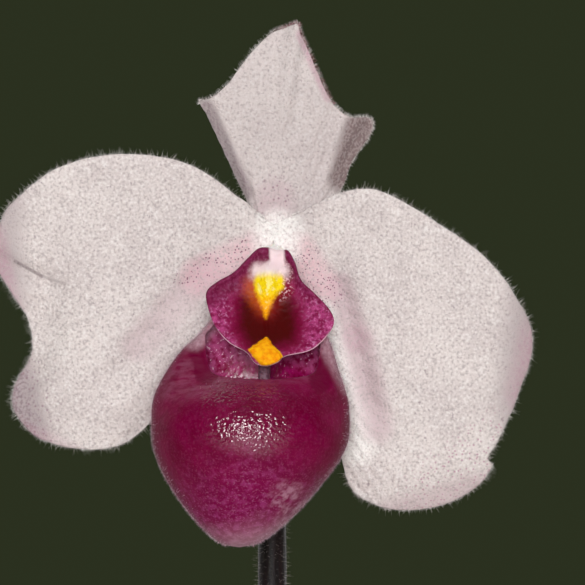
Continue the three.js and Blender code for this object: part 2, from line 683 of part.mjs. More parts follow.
function shieldGeometry() {
  const ringAt = (share, side) =>
    shieldOutline.map(([rimU, rimW]) => {
      const u = lerp(SHIELD_MIDDLE[0], rimU, share);
      const w = lerp(SHIELD_MIDDLE[1], rimW, share);
      const face = side > 0 ? SHIELD_THICKNESS / 2 + shieldRelief(u, w) : -SHIELD_THICKNESS / 2;
      return inBloom(u, shieldDepth(w, share) + face, w);
    });
  const shares = [0.14, 0.36, 0.58, 0.8, 1];
  return loftGeometry([
    ...shares.map((share) => ringAt(share, 1)),
    ...shares.toReversed().map((share) => ringAt(share, -1)),
  ]);
}

function columnGeometry() {
  const curve = new THREE.CatmullRomCurve3([
    inBloom(0, -2.25, -2.05),
    inBloom(0, 0.9, -2.8),
    inBloom(-0.1, 3.6, -3.9),
    inBloom(-0.3, 6.2, -5.1),
    inBloom(-0.5, 7.7, -6.5),
  ]);
  return rodGeometry(curve, (s) => 1.05 + 0.9 * smooth(s, 0.2, 0.36) + 0.2 * smooth(s, 0.4, 1), 10, 9);
}

function stubGeometry(radii, at) {
  const stub = new THREE.SphereGeometry(1, 8, 6);
  stub.scale(...radii);
  const centre = inBloom(...at);
  stub.translate(centre.x, centre.y, centre.z);
  return stub;
}

const stigmaCurve = new THREE.LineCurve3(inBloom(-0.7, 8.2, -8), inBloom(-1.3, 10, -22.3));
const stigma = rodGeometry(stigmaCurve, (s) => lerp(1.3, 0.85, s), 8, 3);
const leftAnther = stubGeometry([1.5, 1.4, 1.8], [-2.5, 6.2, -5]);
const rightAnther = stubGeometry([1.5, 1.4, 1.8], [1.9, 6.2, -5]);
const column = [shieldGeometry(), stigma, leftAnther, rightAnther].reduce(
  (joined, geometry) => joined.add(solidOf(geometry)),
  solidOf(columnGeometry()),
);
addPiece("column", geometryOf(column), 0xa03065, 0.5);

export default orchid;
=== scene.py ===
import math
import random

import bmesh
import bpy
from mathutils import Matrix, Vector, noise


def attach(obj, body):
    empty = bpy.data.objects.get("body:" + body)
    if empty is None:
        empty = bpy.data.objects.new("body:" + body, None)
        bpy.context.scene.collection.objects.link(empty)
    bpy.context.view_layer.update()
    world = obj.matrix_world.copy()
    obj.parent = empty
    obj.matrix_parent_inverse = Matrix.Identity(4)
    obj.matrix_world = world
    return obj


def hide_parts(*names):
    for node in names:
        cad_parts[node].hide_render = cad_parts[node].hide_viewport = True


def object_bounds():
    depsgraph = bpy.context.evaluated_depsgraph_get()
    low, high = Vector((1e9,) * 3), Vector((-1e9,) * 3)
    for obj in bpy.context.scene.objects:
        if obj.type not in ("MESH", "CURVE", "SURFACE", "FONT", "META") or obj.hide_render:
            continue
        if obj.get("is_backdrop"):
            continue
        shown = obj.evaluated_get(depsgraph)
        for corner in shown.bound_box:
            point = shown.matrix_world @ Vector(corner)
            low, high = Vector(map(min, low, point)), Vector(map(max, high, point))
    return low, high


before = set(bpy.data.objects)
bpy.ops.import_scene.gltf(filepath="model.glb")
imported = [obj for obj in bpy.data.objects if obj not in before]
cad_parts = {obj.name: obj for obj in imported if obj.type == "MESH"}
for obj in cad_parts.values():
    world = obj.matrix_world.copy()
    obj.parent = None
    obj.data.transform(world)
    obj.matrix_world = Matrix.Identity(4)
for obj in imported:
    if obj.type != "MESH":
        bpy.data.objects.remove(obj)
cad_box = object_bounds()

# Studio: a plain pale floor that the pot stands on, soft lamps round it, and a camera level with
# the bloom, square in front of it. The key lamp is close to the camera and a little above it.
MM = 0.001
CAMERA_DISTANCE = 600 * MM
VIEW_WIDTH = 87.75 * MM
VIEW_MIDDLE = Vector((2.925, -13, 274.925)) * MM
SENSOR = 36


def paint(red, green, blue):
    """A colour given as it looks on a screen, 0 to 255, turned into the shader's own scale."""
    parts = [value / 255 for value in (red, green, blue)]
    return (*[part / 12.92 if part < 0.04 else ((part + 0.055) / 1.055) ** 2.4 for part in parts], 1)


class Shade:
    """One output of a node in a material. Python's operators on it add Math nodes."""

    def __init__(self, socket):
        self.socket = socket

    def node(self, kind, settings, inputs, output=0):
        """Adds any other node, sets it up, feeds its sockets and gives one of its outputs."""
        tree = self.socket.id_data
        node = tree.nodes.new("ShaderNode" + kind)
        for name, setting in settings.items():
            setattr(node, name, setting)
        for key, value in inputs.items():
            if isinstance(value, Shade):
                tree.links.new(value.socket, node.inputs[key])
            else:
                node.inputs[key].default_value = value
        return Shade(node.outputs[output])

    def math(self, operation, first, second):
        return self.node("Math", {"operation": operation}, {0: first, 1: second})

    def __add__(self, other):
        return self.math("ADD", self, other)

    def __sub__(self, other):
        return self.math("SUBTRACT", self, other)

    def __mul__(self, other):
        return self.math("MULTIPLY", self, other)

    def __truediv__(self, other):
        return self.math("DIVIDE", self, other)

    def __rsub__(self, other):
        return self.math("SUBTRACT", other, self)

    def __rtruediv__(self, other):
        return self.math("DIVIDE", other, self)

    def __neg__(self):
        return self * -1

    def __abs__(self):
        return self.node("Math", {"operation": "ABSOLUTE"}, {0: self})

    __radd__ = __add__
    __rmul__ = __mul__

    def most(self, other):
        return self.math("MAXIMUM", self, other)

    def step(self, low, high):
        """0 up to low, 1 from high on, and a smooth rise between them. It falls if low is higher."""
        span = {"Value": self, "From Min": low, "From Max": high}
        return self.node("MapRange", {"interpolation_type": "SMOOTHSTEP"}, span)

    def tint(self, first, second):
        """The first colour where this is 0 and the second where it is 1."""
        ends = [end if isinstance(end, Shade) else paint(*end) for end in (first, second)]
        return self.node("Mix", {"data_type": "RGBA"}, {0: self, 6: ends[0], 7: ends[1]}, 2)

    def grain(self, size, detail=2, stretch=(1, 1, 1)):
        """Soft noise round 0.5 over this place, with lumps of about size millimetres."""
        scale = [1 / (size * MM * part) for part in stretch]
        place = self.node("Mapping", {}, {"Vector": self, "Scale": scale})
        return self.node("TexNoise", {}, {"Vector": place, "Scale": 1, "Detail": detail})

    def cells(self, size, feature="F1", stretch=(1, 1, 1)):
        """How far a place is from the middle, or else the edge, of cells of about size millimetres."""
        scale = [1 / (size * MM * part) for part in stretch]
        place = self.node("Mapping", {}, {"Vector": self, "Scale": scale})
        voronoi = {"Vector": place, "Scale": 1}
        return self.node("TexVoronoi", {"feature": feature}, voronoi, "Distance")

    def parts(self):
        """The three coordinates of this place, in millimetres."""
        return [self.node("SeparateXYZ", {}, {0: self}, axis) * (1 / MM) for axis in range(3)]


class Finish:
    """A material. Its shader's constants are set by name, flush() builds up its colour from the
    ground colour that it starts with, and feed() links that and whatever else varies."""

    def __init__(self, name, **constants):
        self.material = bpy.data.materials.new(name)
        self.material.use_nodes = True
        self.nodes = self.material.node_tree.nodes
        self.shader = self.nodes["Principled BSDF"]
        for key, value in constants.items():
            self.shader.inputs[key.replace("_", " ")].default_value = value
        coordinates = self.nodes.new("ShaderNodeTexCoord")
        self.place = Shade(coordinates.outputs["Object"])
        self.shares = Shade(coordinates.outputs["UV"])
        self.colour = None

    def layer(self, name):
        """What the mesh keeps under a name at each of its corners."""
        layer = Shade(self.nodes.new("ShaderNodeAttribute").outputs["Fac"])
        layer.socket.node.attribute_name = name
        return layer

    def flush(self, mask, strength, colour):
        """Lays a colour over what is there already, where the mask is 1."""
        self.colour = (mask * strength).tint(self.colour, colour)

    def feed(self, **links):
        for key, shade in {"Base Color": self.colour, **links}.items():
            self.material.node_tree.links.new(shade.socket, self.shader.inputs[key])
        return self.material

    def coat(self, mask, inputs):
        """Turns the surface into a second shader, set up by its inputs, where the mask is 1."""
        second = mask.node("BsdfPrincipled", {}, inputs)
        mixed = mask.node("MixShader", {}, {0: mask, 1: Shade(self.shader.outputs[0]), 2: second})
        surface = self.nodes["Material Output"].inputs["Surface"]
        self.material.node_tree.links.new(mixed.socket, surface)

    def raised(self, height):
        """The surface's normal for a relief that is given in millimetres."""
        return height.node("Bump", {}, {"Strength": 1, "Distance": 1, "Height": height * MM})


def lamp(name, place, aim, size, watts, glossy=True):
    light = bpy.data.lights.new(name, "AREA")
    light.shape = "RECTANGLE"
    light.size, light.size_y = size
    light.energy = watts
    stand = bpy.data.objects.new(name, light)
    stand.location = place
    stand.rotation_euler = (Vector(aim) - Vector(place)).to_track_quat("-Z", "Y").to_euler()
    stand.visible_glossy = glossy
    bpy.context.collection.objects.link(stand)


lamp("key", (-0.03, -0.85, 0.37), (0, -0.02, 0.26), (0.26, 0.36), 4.7)
lamp("front_fill", (0.15, -1.0, 0.65), (0, 0, 0.15), (0.8, 0.8), 3, glossy=False)
lamp("overhead", (0.1, 0.05, 1.25), (0, 0, 0.1), (1, 1), 5, glossy=False)
lamp("behind_left", (-0.8, 0.75, 0.5), (0, 0, 0.15), (0.7, 0.7), 4.5)
lamp("behind_right", (0.85, 0.7, 0.45), (0, 0, 0.15), (0.7, 0.7), 4.5)

world = bpy.data.worlds.new("backdrop")
world.use_nodes = True
world.node_tree.nodes["Background"].inputs["Color"].default_value = (0.024, 0.03, 0.014, 1)
world.node_tree.nodes["Background"].inputs["Strength"].default_value = 1
bpy.context.scene.world = world
bpy.context.scene.view_settings.view_transform = "Standard"

lens = bpy.data.cameras.new("camera")
lens.sensor_width = SENSOR
lens.lens = SENSOR * CAMERA_DISTANCE / VIEW_WIDTH
lens.clip_start = 10 * MM
camera = bpy.data.objects.new("camera", lens)
camera.location = VIEW_MIDDLE - Vector((0, CAMERA_DISTANCE, 0))
camera.rotation_euler = (math.pi / 2, 0, 0)
bpy.context.collection.objects.link(camera)
bpy.context.scene.camera = camera

pale_floor = Finish("pale_floor", Roughness=0.9)
pale_floor.colour = pale_floor.place.grain(40, 3).tint((205, 203, 198), (212, 210, 206))
floor_mesh = bmesh.new()
bmesh.ops.create_circle(floor_mesh, cap_ends=True, segments=96, radius=2.2)
bmesh.ops.translate(floor_mesh, verts=floor_mesh.verts[:], vec=(0, 0, -0.2 * MM))
floor_data = bpy.data.meshes.new("floor")
floor_mesh.to_mesh(floor_data)
floor_mesh.free()
floor_data.materials.append(pale_floor.feed())
floor = bpy.data.objects.new("floor", floor_data)
bpy.context.collection.objects.link(floor)
floor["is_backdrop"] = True


# Pot: thrown from red clay, with a thick band round its rim, and left unglazed. It stands on a
# flat foot with four drain holes. Turning lines run round it, and lime has dried on its outside.
POT_HEIGHT = 92
POT_FOOT_RADIUS = 37
POT_BODY_RADIUS = 50
POT_RIM_RADIUS = 54
POT_WALL = 4.5
POT_FLOOR = 6
POT_BAND_BOTTOM = 72
POT_TURNING_STEPS = 112
DRAIN_HOLES = 4
DRAIN_REACH = 20
DRAIN_RADIUS = 4.5


def lerp(start, end, share):
    return start + (end - start) * share


def smooth(x, low, high):
    """0 up to low, 1 from high on, and a smooth rise between them."""
    share = min(max((x - low) / (high - low), 0), 1)
    return share * share * (3 - 2 * share)


def weld(mesh, unit=MM):
    """Merges doubled corners and turns every face of a closed shape outwards."""
    bmesh.ops.remove_doubles(mesh, verts=mesh.verts[:], dist=0.002 * unit)
    bmesh.ops.recalc_face_normals(mesh, faces=mesh.faces[:])


def turned(profile, steps, unit=MM):
    """A closed shape turned round the upright axis from a profile of radii and levels."""
    mesh = bmesh.new()
    points = [mesh.verts.new((radius * unit, 0, z * unit)) for radius, z in profile]
    edges = [mesh.edges.new(pair) for pair in zip(points, points[1:])]
    bmesh.ops.spin(
        mesh, geom=points + edges, cent=(0, 0, 0), axis=(0, 0, 1),
        angle=2 * math.pi, steps=steps, use_merge=True, dvec=(0, 0, 0),
    )
    weld(mesh, unit)
    return mesh


def piece(name, mesh, materials, replaces=(), sharp=None):
    """Makes a finished mesh an object of the plant, with its materials and its place in the frame."""
    data = bpy.data.meshes.new(name)
    mesh.to_mesh(data)
    mesh.free()
    data.shade_smooth()
    if sharp is not None:
        data.set_sharp_from_angle(angle=math.radians(sharp))
    for material in materials:
        data.materials.append(material)
    obj = bpy.data.objects.new(name, data)
    bpy.context.collection.objects.link(obj)
    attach(obj, "root")
    if replaces:
        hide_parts(*replaces)
    return obj


def pot_outside(z):
    turning = 0.1 * math.sin(z * 1.9) + 0.16 * noise.noise(Vector((z * 0.7, 3.1, 0)))
    return lerp(POT_FOOT_RADIUS, POT_BODY_RADIUS, z / POT_HEIGHT) + turning


def pot_inside(z):
    return lerp(POT_FOOT_RADIUS, POT_BODY_RADIUS, z / POT_HEIGHT) - POT_WALL


def band_outside(z):
    return lerp(POT_RIM_RADIUS - 0.4, POT_RIM_RADIUS, (z - 74.6) / 15.2) + 0.1 * math.sin(z * 2.3 + 1)


foot_edge = ((1.4, 0), (0.6, 0.2), (0.1, 0.8))
band_edge = ((7.1, -0.6), (6.6, 0), (2, 0.6), (0.9, 1.4))
rim_edge = ((0.3, 1.4), (1, 0.5), (2.1, 0.05), (3.4, 0.1), (5.6, 0.8), (8, 1.6))
pot_profile = [(0, 0)] + [(POT_FOOT_RADIUS - inward, z) for inward, z in foot_edge]
pot_profile += [(pot_outside(z), z) for z in [1.4 + 1.5 * k for k in range(47)]]
pot_profile += [(POT_RIM_RADIUS - inward, POT_BAND_BOTTOM + up) for inward, up in band_edge]
pot_profile += [(band_outside(z), z) for z in [74.6 + 1.4 * k for k in range(11)]]
pot_profile += [(POT_RIM_RADIUS - inward, POT_HEIGHT - down) for inward, down in rim_edge]
pot_profile += [(pot_inside(z), z) for z in (88, 84, 80, 76, 60, 40, 20, 9)]
pot_profile += [(32.4, POT_FLOOR + 0.6), (31, POT_FLOOR), (0, POT_FLOOR)]

drill_mesh = bmesh.new()
for k in range(DRAIN_HOLES):
    way = 2 * math.pi * (k + 0.5) / DRAIN_HOLES
    middle = Vector((DRAIN_REACH * math.cos(way), DRAIN_REACH * math.sin(way), POT_FLOOR / 2))
    bmesh.ops.create_cone(
        drill_mesh, cap_ends=True, segments=32, radius1=DRAIN_RADIUS * MM, radius2=DRAIN_RADIUS * MM,
        depth=(POT_FLOOR + 4) * MM, matrix=Matrix.Translation(middle * MM),
    )


def cut(mesh, tool):
    """What is left of one closed mesh after another is taken out of it."""
    objects = []
    for name, part in (("whole", mesh), ("drill", tool)):
        data = bpy.data.meshes.new(name)
        part.to_mesh(data)
        part.free()
        objects.append(bpy.data.objects.new(name, data))
        bpy.context.collection.objects.link(objects[-1])
    whole, drill = objects
    boolean = whole.modifiers.new("holes", "BOOLEAN")
    boolean.operation = "DIFFERENCE"
    boolean.object = drill
    left = bmesh.new()
    left.from_object(whole, bpy.context.evaluated_depsgraph_get())
    for obj in objects:
        bpy.data.objects.remove(obj)
    return left


def terracotta():
    finish = Finish("terracotta", Specular_IOR_Level=0.25)
    _, _, z = finish.place.parts()
    grit = finish.place.grain(0.55, 3)
    turning = finish.place.grain(3, 2, stretch=(14, 14, 0.22))
    finish.colour = finish.place.grain(16, 4).step(0.3, 0.72).tint((163, 84, 52), (196, 116, 80))
    finish.flush(grit.step(0.58, 0.74), 0.55, (120, 62, 40))
    finish.flush(grit.step(0.42, 0.3), 0.4, (224, 158, 120))
    finish.flush(z.step(34, 6) * finish.place.grain(9, 3).step(0.34, 0.62), 0.6, (118, 62, 40))
    under_band = z.step(50, 70) * z.step(74, 72)
    near_rim = z.step(82, 91)
    low = z.step(30, 12) * z.step(2, 8)
    patches = finish.place.grain(11, 5)
    lime = (patches + 0.16 * under_band + 0.14 * near_rim + 0.1 * low).step(0.56, 0.74)
    lime = lime * finish.place.grain(1.1, 3).step(0.3, 0.62)
    finish.flush(lime, 0.82, (221, 208, 190))
    height = 0.16 * grit + 0.22 * turning + 0.08 * lime
    return finish.feed(Roughness=0.82 + 0.14 * grit, Normal=finish.raised(height))


pot_mesh = cut(turned(pot_profile, POT_TURNING_STEPS), drill_mesh)
piece("pot_turned", pot_mesh, [terracotta()], ["pot"], sharp=42)


# Potting bark: conifer bark broken into chips, poured in loose round the crown of the plant. A
# packed bed fills the pot, and the upper chips lie on it at all angles among smaller crumbs.
BARK_LEVEL = 78
CROWN_LEVEL = 80
CHIP_COUNT = 48
CHIP_REACH = 38.5
CHIP_SIZES = ((9, 16), (7, 11), (4, 7))
CRUMB_COUNT = 150
CRUMB_REACH = 42
CRUMB_SIZES = ((2.5, 6.5), (2, 4.5), (1.2, 2.6))
CROWN_CLEAR = 17
CROWN_HALF_LENGTH = 16
CROWN_HALF_WIDTH = 9.5
BARK_CLEARANCE = 0.65
LOW_32_BITS = 0xFFFFFFFF


def bark_draws(seed):
    """The same row of draws from 0 to 1 that places the chips of the solid."""
    state = seed
    while True:
        state = (state + 0x6D2B79F5) & LOW_32_BITS
        mixed = ((state ^ (state >> 15)) * (1 | state)) & LOW_32_BITS
        mixed = ((mixed + (mixed ^ (mixed >> 7)) * (61 | mixed)) & LOW_32_BITS) ^ mixed
        yield ((mixed ^ (mixed >> 14)) & LOW_32_BITS) / 2**32


def chip(draw, sizes, tilt, cuts):
    """One broken chip: a block with its corners drawn in, tilted by up to tilt degrees."""
    mesh = bmesh.new()
    size = [lerp(low, high, draw()) for low, high in sizes]
    shares = {}
    for signs in [(x, y, z * x) for x in (1, -1) for y in (1, -1) for z in (1, -1)]:
        shares[signs] = [lerp(0.62, 1, draw()), lerp(0.62, 1, draw()), lerp(0.5, 1, draw())]
    bmesh.ops.create_cube(mesh, size=1)
    for vert in mesh.verts:
        share = shares[tuple(1 if part > 0 else -1 for part in vert.co)]
        vert.co = [part * length * own for part, length, own in zip(vert.co, size, share)]
    bmesh.ops.subdivide_edges(mesh, edges=mesh.edges[:], cuts=cuts, use_grid_fill=True)
    shares_of = mesh.loops.layers.uv.verify()
    for face in mesh.faces:
        for corner in face.loops:
            x, y, z = corner.vert.co
            corner[shares_of].uv = (x * 0.05, y * 0.05 + z * 0.1)
    turn = Matrix.Rotation(math.radians(lerp(-tilt, tilt, draw())), 3, "X")
    turn = Matrix.Rotation(math.radians(lerp(-tilt, tilt, draw())), 3, "Y") @ turn
    turn = Matrix.Rotation(2 * math.pi * draw(), 3, "Z") @ turn
    bmesh.ops.rotate(mesh, verts=mesh.verts[:], matrix=turn)
    return mesh


def keep_in_pot(place):
    """Moves a place of the bark clear of the pot's wall and of the crown."""
    room = pot_inside(place.z) - BARK_CLEARANCE
    out = math.hypot(place.x, place.y)
    if out > room:
        place.x *= room / out
        place.y *= room / out
    crown = math.hypot(place.x / CROWN_HALF_LENGTH, place.y / CROWN_HALF_WIDTH)
    if place.z > CROWN_LEVEL - 1 and 0.01 < crown < 1:
        place.x /= crown
        place.y /= crown
    return place


bed_profile = [(0, 6.35)] + [(pot_inside(z) - BARK_CLEARANCE, z) for z in (6.35, 30, 54, 76.5)]
bed_profile += [(pot_inside(78) - 3, 77.5), (36, 78), (30, 78.1), (24, 78.2), (20, 78.3)]
bed_profile += [(16, 78.2), (14.6, 77), (14.4, 74.5), (0, 74)]
bark_mesh = turned(bed_profile, 72, 1)
for vert in bark_mesh.verts:
    if vert.co.z > 74:
        vert.co.z += 0.8 * noise.noise(vert.co * 0.4)
bark_mesh.loops.layers.uv.verify()
bark_mesh.verts.layers.float.new("own_shade")
flake = bpy.data.meshes.new("flake")


def add_to(mesh, part):
    """Joins one mesh to another that is still being made."""
    part.to_mesh(flake)
    part.free()
    mesh.from_mesh(flake)


def lay(mesh, reach, angle, level, own):
    """Roughens a chip, lays it on the bed and joins it to the bark. own is its shade of brown."""
    shade = mesh.verts.layers.float.new("own_shade")
    spot = Vector((reach * math.cos(angle), reach * math.sin(angle), level))
    mesh.normal_update()
    for vert in mesh.verts:
        x, y, z = vert.co
        rough = 0.5 * noise.noise(Vector((x * 0.55 + own * 50, y * 0.55, z * 0.55)))
        rough += 0.28 * noise.noise(Vector((x * 0.5, y * 2.4, z * 2.4)))
        vert.co = keep_in_pot(vert.co + vert.normal * rough + spot)
        vert[shade] = own
    add_to(bark_mesh, mesh)


draw = bark_draws(11).__next__
chip_shades = random.Random(5)
for k in range(CHIP_COUNT):
    reach = math.sqrt(lerp(CROWN_CLEAR**2, CHIP_REACH**2, (k + 0.5) / CHIP_COUNT))
    mesh = chip(draw, CHIP_SIZES, 28, 3)
    lay(mesh, reach, math.radians(137.5) * k, BARK_LEVEL + lerp(-0.3, 1.6, draw()), chip_shades.random())

crumbs = random.Random(8)
for _ in range(CRUMB_COUNT):
    reach = math.sqrt(crumbs.uniform((CROWN_CLEAR + 0.5) ** 2, CRUMB_REACH**2))
    angle = crumbs.uniform(0, 2 * math.pi)
    level = BARK_LEVEL + crumbs.uniform(0.2, 2.6)
    own = crumbs.random()
    lay(chip(crumbs.random, CRUMB_SIZES, 50, 1), reach, angle, level, own)
bmesh.ops.scale(bark_mesh, vec=(MM, MM, MM), verts=bark_mesh.verts[:])


def bark():
    finish = Finish("bark", Specular_IOR_Level=0.3)
    cork = finish.shares.grain(90, 4, stretch=(3, 0.5, 1))
    cloud = finish.place.grain(5, 4)
    pits = finish.place.grain(0.7, 3)
    finish.colour = finish.layer("own_shade").tint((70, 41, 27), (134, 84, 55))
    finish.flush(cork.step(0.42, 0.62), 0.6, (52, 30, 21))
    finish.flush(cloud.step(0.5, 0.72), 0.5, (150, 104, 74))
    finish.flush(pits.step(0.6, 0.7), 0.5, (34, 21, 15))
    finish.flush(finish.place.grain(2.2, 5).step(0.6, 0.75), 0.45, (158, 136, 112))
    height = 0.5 * cork + 0.3 * pits + 0.35 * cloud
    return finish.feed(Roughness=0.8 + 0.15 * pits, Normal=finish.raised(height))


piece("bark_chips", bark_mesh, [bark()], ["potting_bark"], sharp=38)


# Rootstock: a short flat rhizome that the leaves sprout from, and eight thick brown roots with a
# felt of root hairs. Two of them arch over the bark before they go down into it.
RHIZOME = (
    (60, 0, 0), (60, 1.5, 1.5), (65, 7, 4), (71, 11.5, 6), (76, 14, 7), (79.4, 14, 7.3),
    (CROWN_LEVEL, 13.4, 6.8), (CROWN_LEVEL, 0, 0),
)
ROOTS = (
    (1.9, ((9, 2, 71), (20, 7, 62), (29, 12, 44), (31, 13, 24))),
    (1.8, ((4, 4, 70), (9, 16, 60), (11, 28, 42), (12, 30, 22))),
    (1.9, ((-6, 4, 70), (-15, 14, 60), (-23, 22, 40), (-24, 22, 20))),
    (1.8, ((-9, -2, 71), (-20, -7, 60), (-29, -11, 42), (-30, -12, 22))),
    (1.9, ((-3, -4, 70), (-7, -15, 58), (-10, -27, 40), (-10, -29, 20))),
    (1.8, ((6, -4, 70), (14, -14, 60), (21, -22, 42), (22, -23, 22))),
    (1.7, ((9, -3, 75), (15, -9.5, 80.6), (22, -15.5, 82.6), (29, -20, 78.5), (33, -22, 66))),
    (1.6, ((-9, 3, 75), (-15, 9.5, 80.4), (-21, 16, 82.2), (-26, 22, 78), (-28, 25, 66))),
)


def blade(rows, columns, place, body=None):
    """A grid over the shares s and t, 0 to 1 along and across, with each corner at place(s, t) in
    millimetres. Its UV map keeps (t, s), and body(s, t) is its share of the full thickness."""
    mesh = bmesh.new()
    bmesh.ops.create_grid(mesh, x_segments=columns, y_segments=rows, size=0.5)
    shares = mesh.loops.layers.uv.new("UVMap")
    for face in mesh.faces:
        for corner in face.loops:
            corner[shares].uv = corner.vert.co.xy + Vector((0.5, 0.5))
    weights = mesh.verts.layers.deform.verify() if body else None
    for vert in mesh.verts:
        s = vert.co.y + 0.5
        t = vert.co.x + 0.5
        if body:
            vert[weights][0] = body(s, t)
        vert.co = place(s, t) * MM
    return mesh


def curve_through(points, steps):
    """Places at even distances along a smooth curve through points, with no overshoot."""
    points = [Vector(point) for point in points]
    points = [2 * points[0] - points[1]] + points + [2 * points[-1] - points[-2]]
    fine = []
    for p0, p1, p2, p3 in zip(points, points[1:], points[2:], points[3:]):
        d0, d1, d2 = [math.sqrt((b - a).length) for a, b in ((p0, p1), (p1, p2), (p2, p3))]
        slope1 = ((p1 - p0) / d0 - (p2 - p0) / (d0 + d1) + (p2 - p1) / d1) * d1
        slope2 = ((p2 - p1) / d1 - (p3 - p1) / (d1 + d2) + (p3 - p2) / d2) * d1
        for k in range(60):
            t = k / 60
            fine.append(
                (2 * t**3 - 3 * t**2 + 1) * p1 + (t**3 - 2 * t**2 + t) * slope1
                + (3 * t**2 - 2 * t**3) * p2 + (t**3 - t**2) * slope2
            )
    fine.append(points[-2])
    along = [0]
    for a, b in zip(fine, fine[1:]):
        along.append(along[-1] + (b - a).length)
    places = []
    i = 0
    for k in range(steps + 1):
        wanted = along[-1] * k / steps
        while i < len(fine) - 2 and along[i + 1] < wanted:
            i += 1
        places.append(fine[i].lerp(fine[i + 1], (wanted - along[i]) / (along[i + 1] - along[i])))
    return places


def framed(places):
    """Each place of a curve with two ways across it, which don't twist along the curve."""
    frames = []
    across = None
    for k, place in enumerate(places):
        ahead = (places[min(k + 1, len(places) - 1)] - places[max(k - 1, 0)]).normalized()
        if across is None:
            across = ahead.orthogonal()
        across = (across - ahead * across.dot(ahead)).normalized()
        frames.append((place, across, ahead.cross(across)))
    return frames


def on_skin(frames, s, angle, radius):
    """A point of a stem's skin, a share s along it."""
    k = s * (len(frames) - 1)
    i = min(int(k), len(frames) - 2)
    place, first, second = [frames[i][n].lerp(frames[i + 1][n], k - i) for n in range(3)]
    return place + first * (math.cos(angle) * radius) + second * (math.sin(angle) * radius)


def stem(places, radius_at, sides):
    """A round stem along places, with its radius at a share along it and an angle round it."""
    frames = framed(places)
    rows = len(places) + 1

    def skin(s, t):
        row = round(s * rows)
        share = min(max(row - 1, 0) / (len(places) - 1), 1)
        radius = 0 if row in (0, rows) else radius_at(share, t * 2 * math.pi)
        return on_skin(frames, share, t * 2 * math.pi, radius)

    mesh = blade(rows, sides, skin)
    weld(mesh)
    return mesh


def rhizome_skin(s, t):
    k = s * (len(RHIZOME) - 1)
    i = min(int(k), len(RHIZOME) - 2)
    z, half_length, half_width = [lerp(RHIZOME[i][n], RHIZOME[i + 1][n], k - i) for n in range(3)]
    scar = 1 + 0.03 * math.sin(z * 3.4) * smooth(z, 62, 66)
    angle = 2 * math.pi * t
    return Vector((half_length * scar * math.cos(angle), half_width * scar * math.sin(angle), z))


root_mesh = blade(28, 40, rhizome_skin)
weld(root_mesh)
for radius, points in ROOTS:
    def root_radius(s, angle):
        knobs = noise.noise(Vector((s * 18, math.cos(angle) * 1.5, math.sin(angle) * 1.5)))
        return lerp(radius, radius * 0.72, s) * (1 + 0.07 * knobs)

    add_to(root_mesh, stem(curve_through(points, 34), root_radius, 14))


def root_felt():
    finish = Finish("root_felt", Roughness=0.95, Sheen_Weight=0.35, Sheen_Roughness=0.6)
    cloud = finish.place.grain(3, 4)
    felt = finish.place.grain(0.35, 3)
    finish.colour = cloud.step(0.3, 0.7).tint((82, 60, 40), (128, 98, 66))
    finish.flush(felt.step(0.5, 0.7), 0.5, (164, 138, 104))
    return finish.feed(Normal=finish.raised(0.35 * felt + 0.2 * cloud))


piece("rootstock_felted", root_mesh, [root_felt()], ["rootstock"], sharp=60)


# Leaves: six leathery blades in a flat fan, grown out of each other's folded bases. Above they are
# marbled in dark and grey green, below they are dotted purple.
LEAF_THICKNESS = 1.3
LEAF_BASE_LEVEL = CROWN_LEVEL + 0.9
LEAVES = (
    dict(side=1, keel=12.6, length=106, half_width=19, base=8.6, rise=56, dip=-30, turn=-7, roll=-7),
    dict(side=-1, keel=12.6, length=112, half_width=20, base=8.6, rise=58, dip=-26, turn=-9, roll=6),
    dict(side=1, keel=9.6, length=116, half_width=19.5, base=7.2, rise=70, dip=-6, turn=12, roll=8),
    dict(side=-1, keel=9.6, length=108, half_width=19, base=7.2, rise=72, dip=0, turn=11, roll=-8),
    dict(side=1, keel=6.6, length=88, half_width=16, base=5.2, rise=79, dip=34, turn=-5, roll=-4),
    dict(side=-1, keel=6.6, length=76, half_width=14, base=5.2, rise=81, dip=42, turn=-4, roll=4),
)


def leaf_surface(leaf):
    """The middle surface of a leaf as place(s, t), from its spine and its fold."""
    steps = 120
    side = leaf["side"]
    at = Vector((side * leaf["keel"], 0, LEAF_BASE_LEVEL))
    spine = []
    for k in range(steps + 1):
        s = k / steps
        slope = math.radians(lerp(leaf["rise"], leaf["dip"], smooth(s, 0.02, 1.15)))
        azimuth = math.radians(leaf["turn"]) * smooth(s, 0.12, 0.6)
        forward = Vector((
            side * math.cos(slope) * math.cos(azimuth), math.cos(slope) * math.sin(azimuth), math.sin(slope)
        ))
        level = Vector((-side * math.sin(azimuth), math.cos(azimuth), 0))
        inward = forward.cross(level) * side
        roll = math.radians(leaf["roll"]) * smooth(s, 0.2, 0.8)
        across = level * math.cos(roll) + inward * math.sin(roll)
        lift = inward * math.cos(roll) - level * math.sin(roll)
        spine.append((at.copy(), across, lift))
        at += forward * (leaf["length"] / steps)

    def place(s, t):
        k = min(int(s * steps), steps - 1)
        middle, across, lift = [spine[k][n].lerp(spine[k + 1][n], s * steps - k) for n in range(3)]
        share = 2 * t - 1
        half = leaf["base"] * (1 - s) ** 3
        half += leaf["half_width"] * math.sin(math.pi * (0.01 + 0.98 * s**1.15)) ** 0.75
        fold = math.radians(lerp(58, 13, smooth(s, 0, 0.42)) - 6 * smooth(s, 0.6, 1))
        rounded = math.sqrt(share**2 + 0.01) - 0.1
        droop = 2.2 * share**4 * smooth(s, 0.4, 0.8)
        wave = 0.9 * smooth(s, 0.25, 0.6) * share**2 * math.sin(9 * s + 2 * share + leaf["keel"])
        quilt = 0.12 * noise.noise(Vector((s * 16, t * 6, leaf["length"]))) * smooth(s, 0.1, 0.3)
        height = half * rounded * math.sin(fold) - droop + wave + quilt
        return middle + across * (half * share * math.cos(fold)) + lift * height

    return place


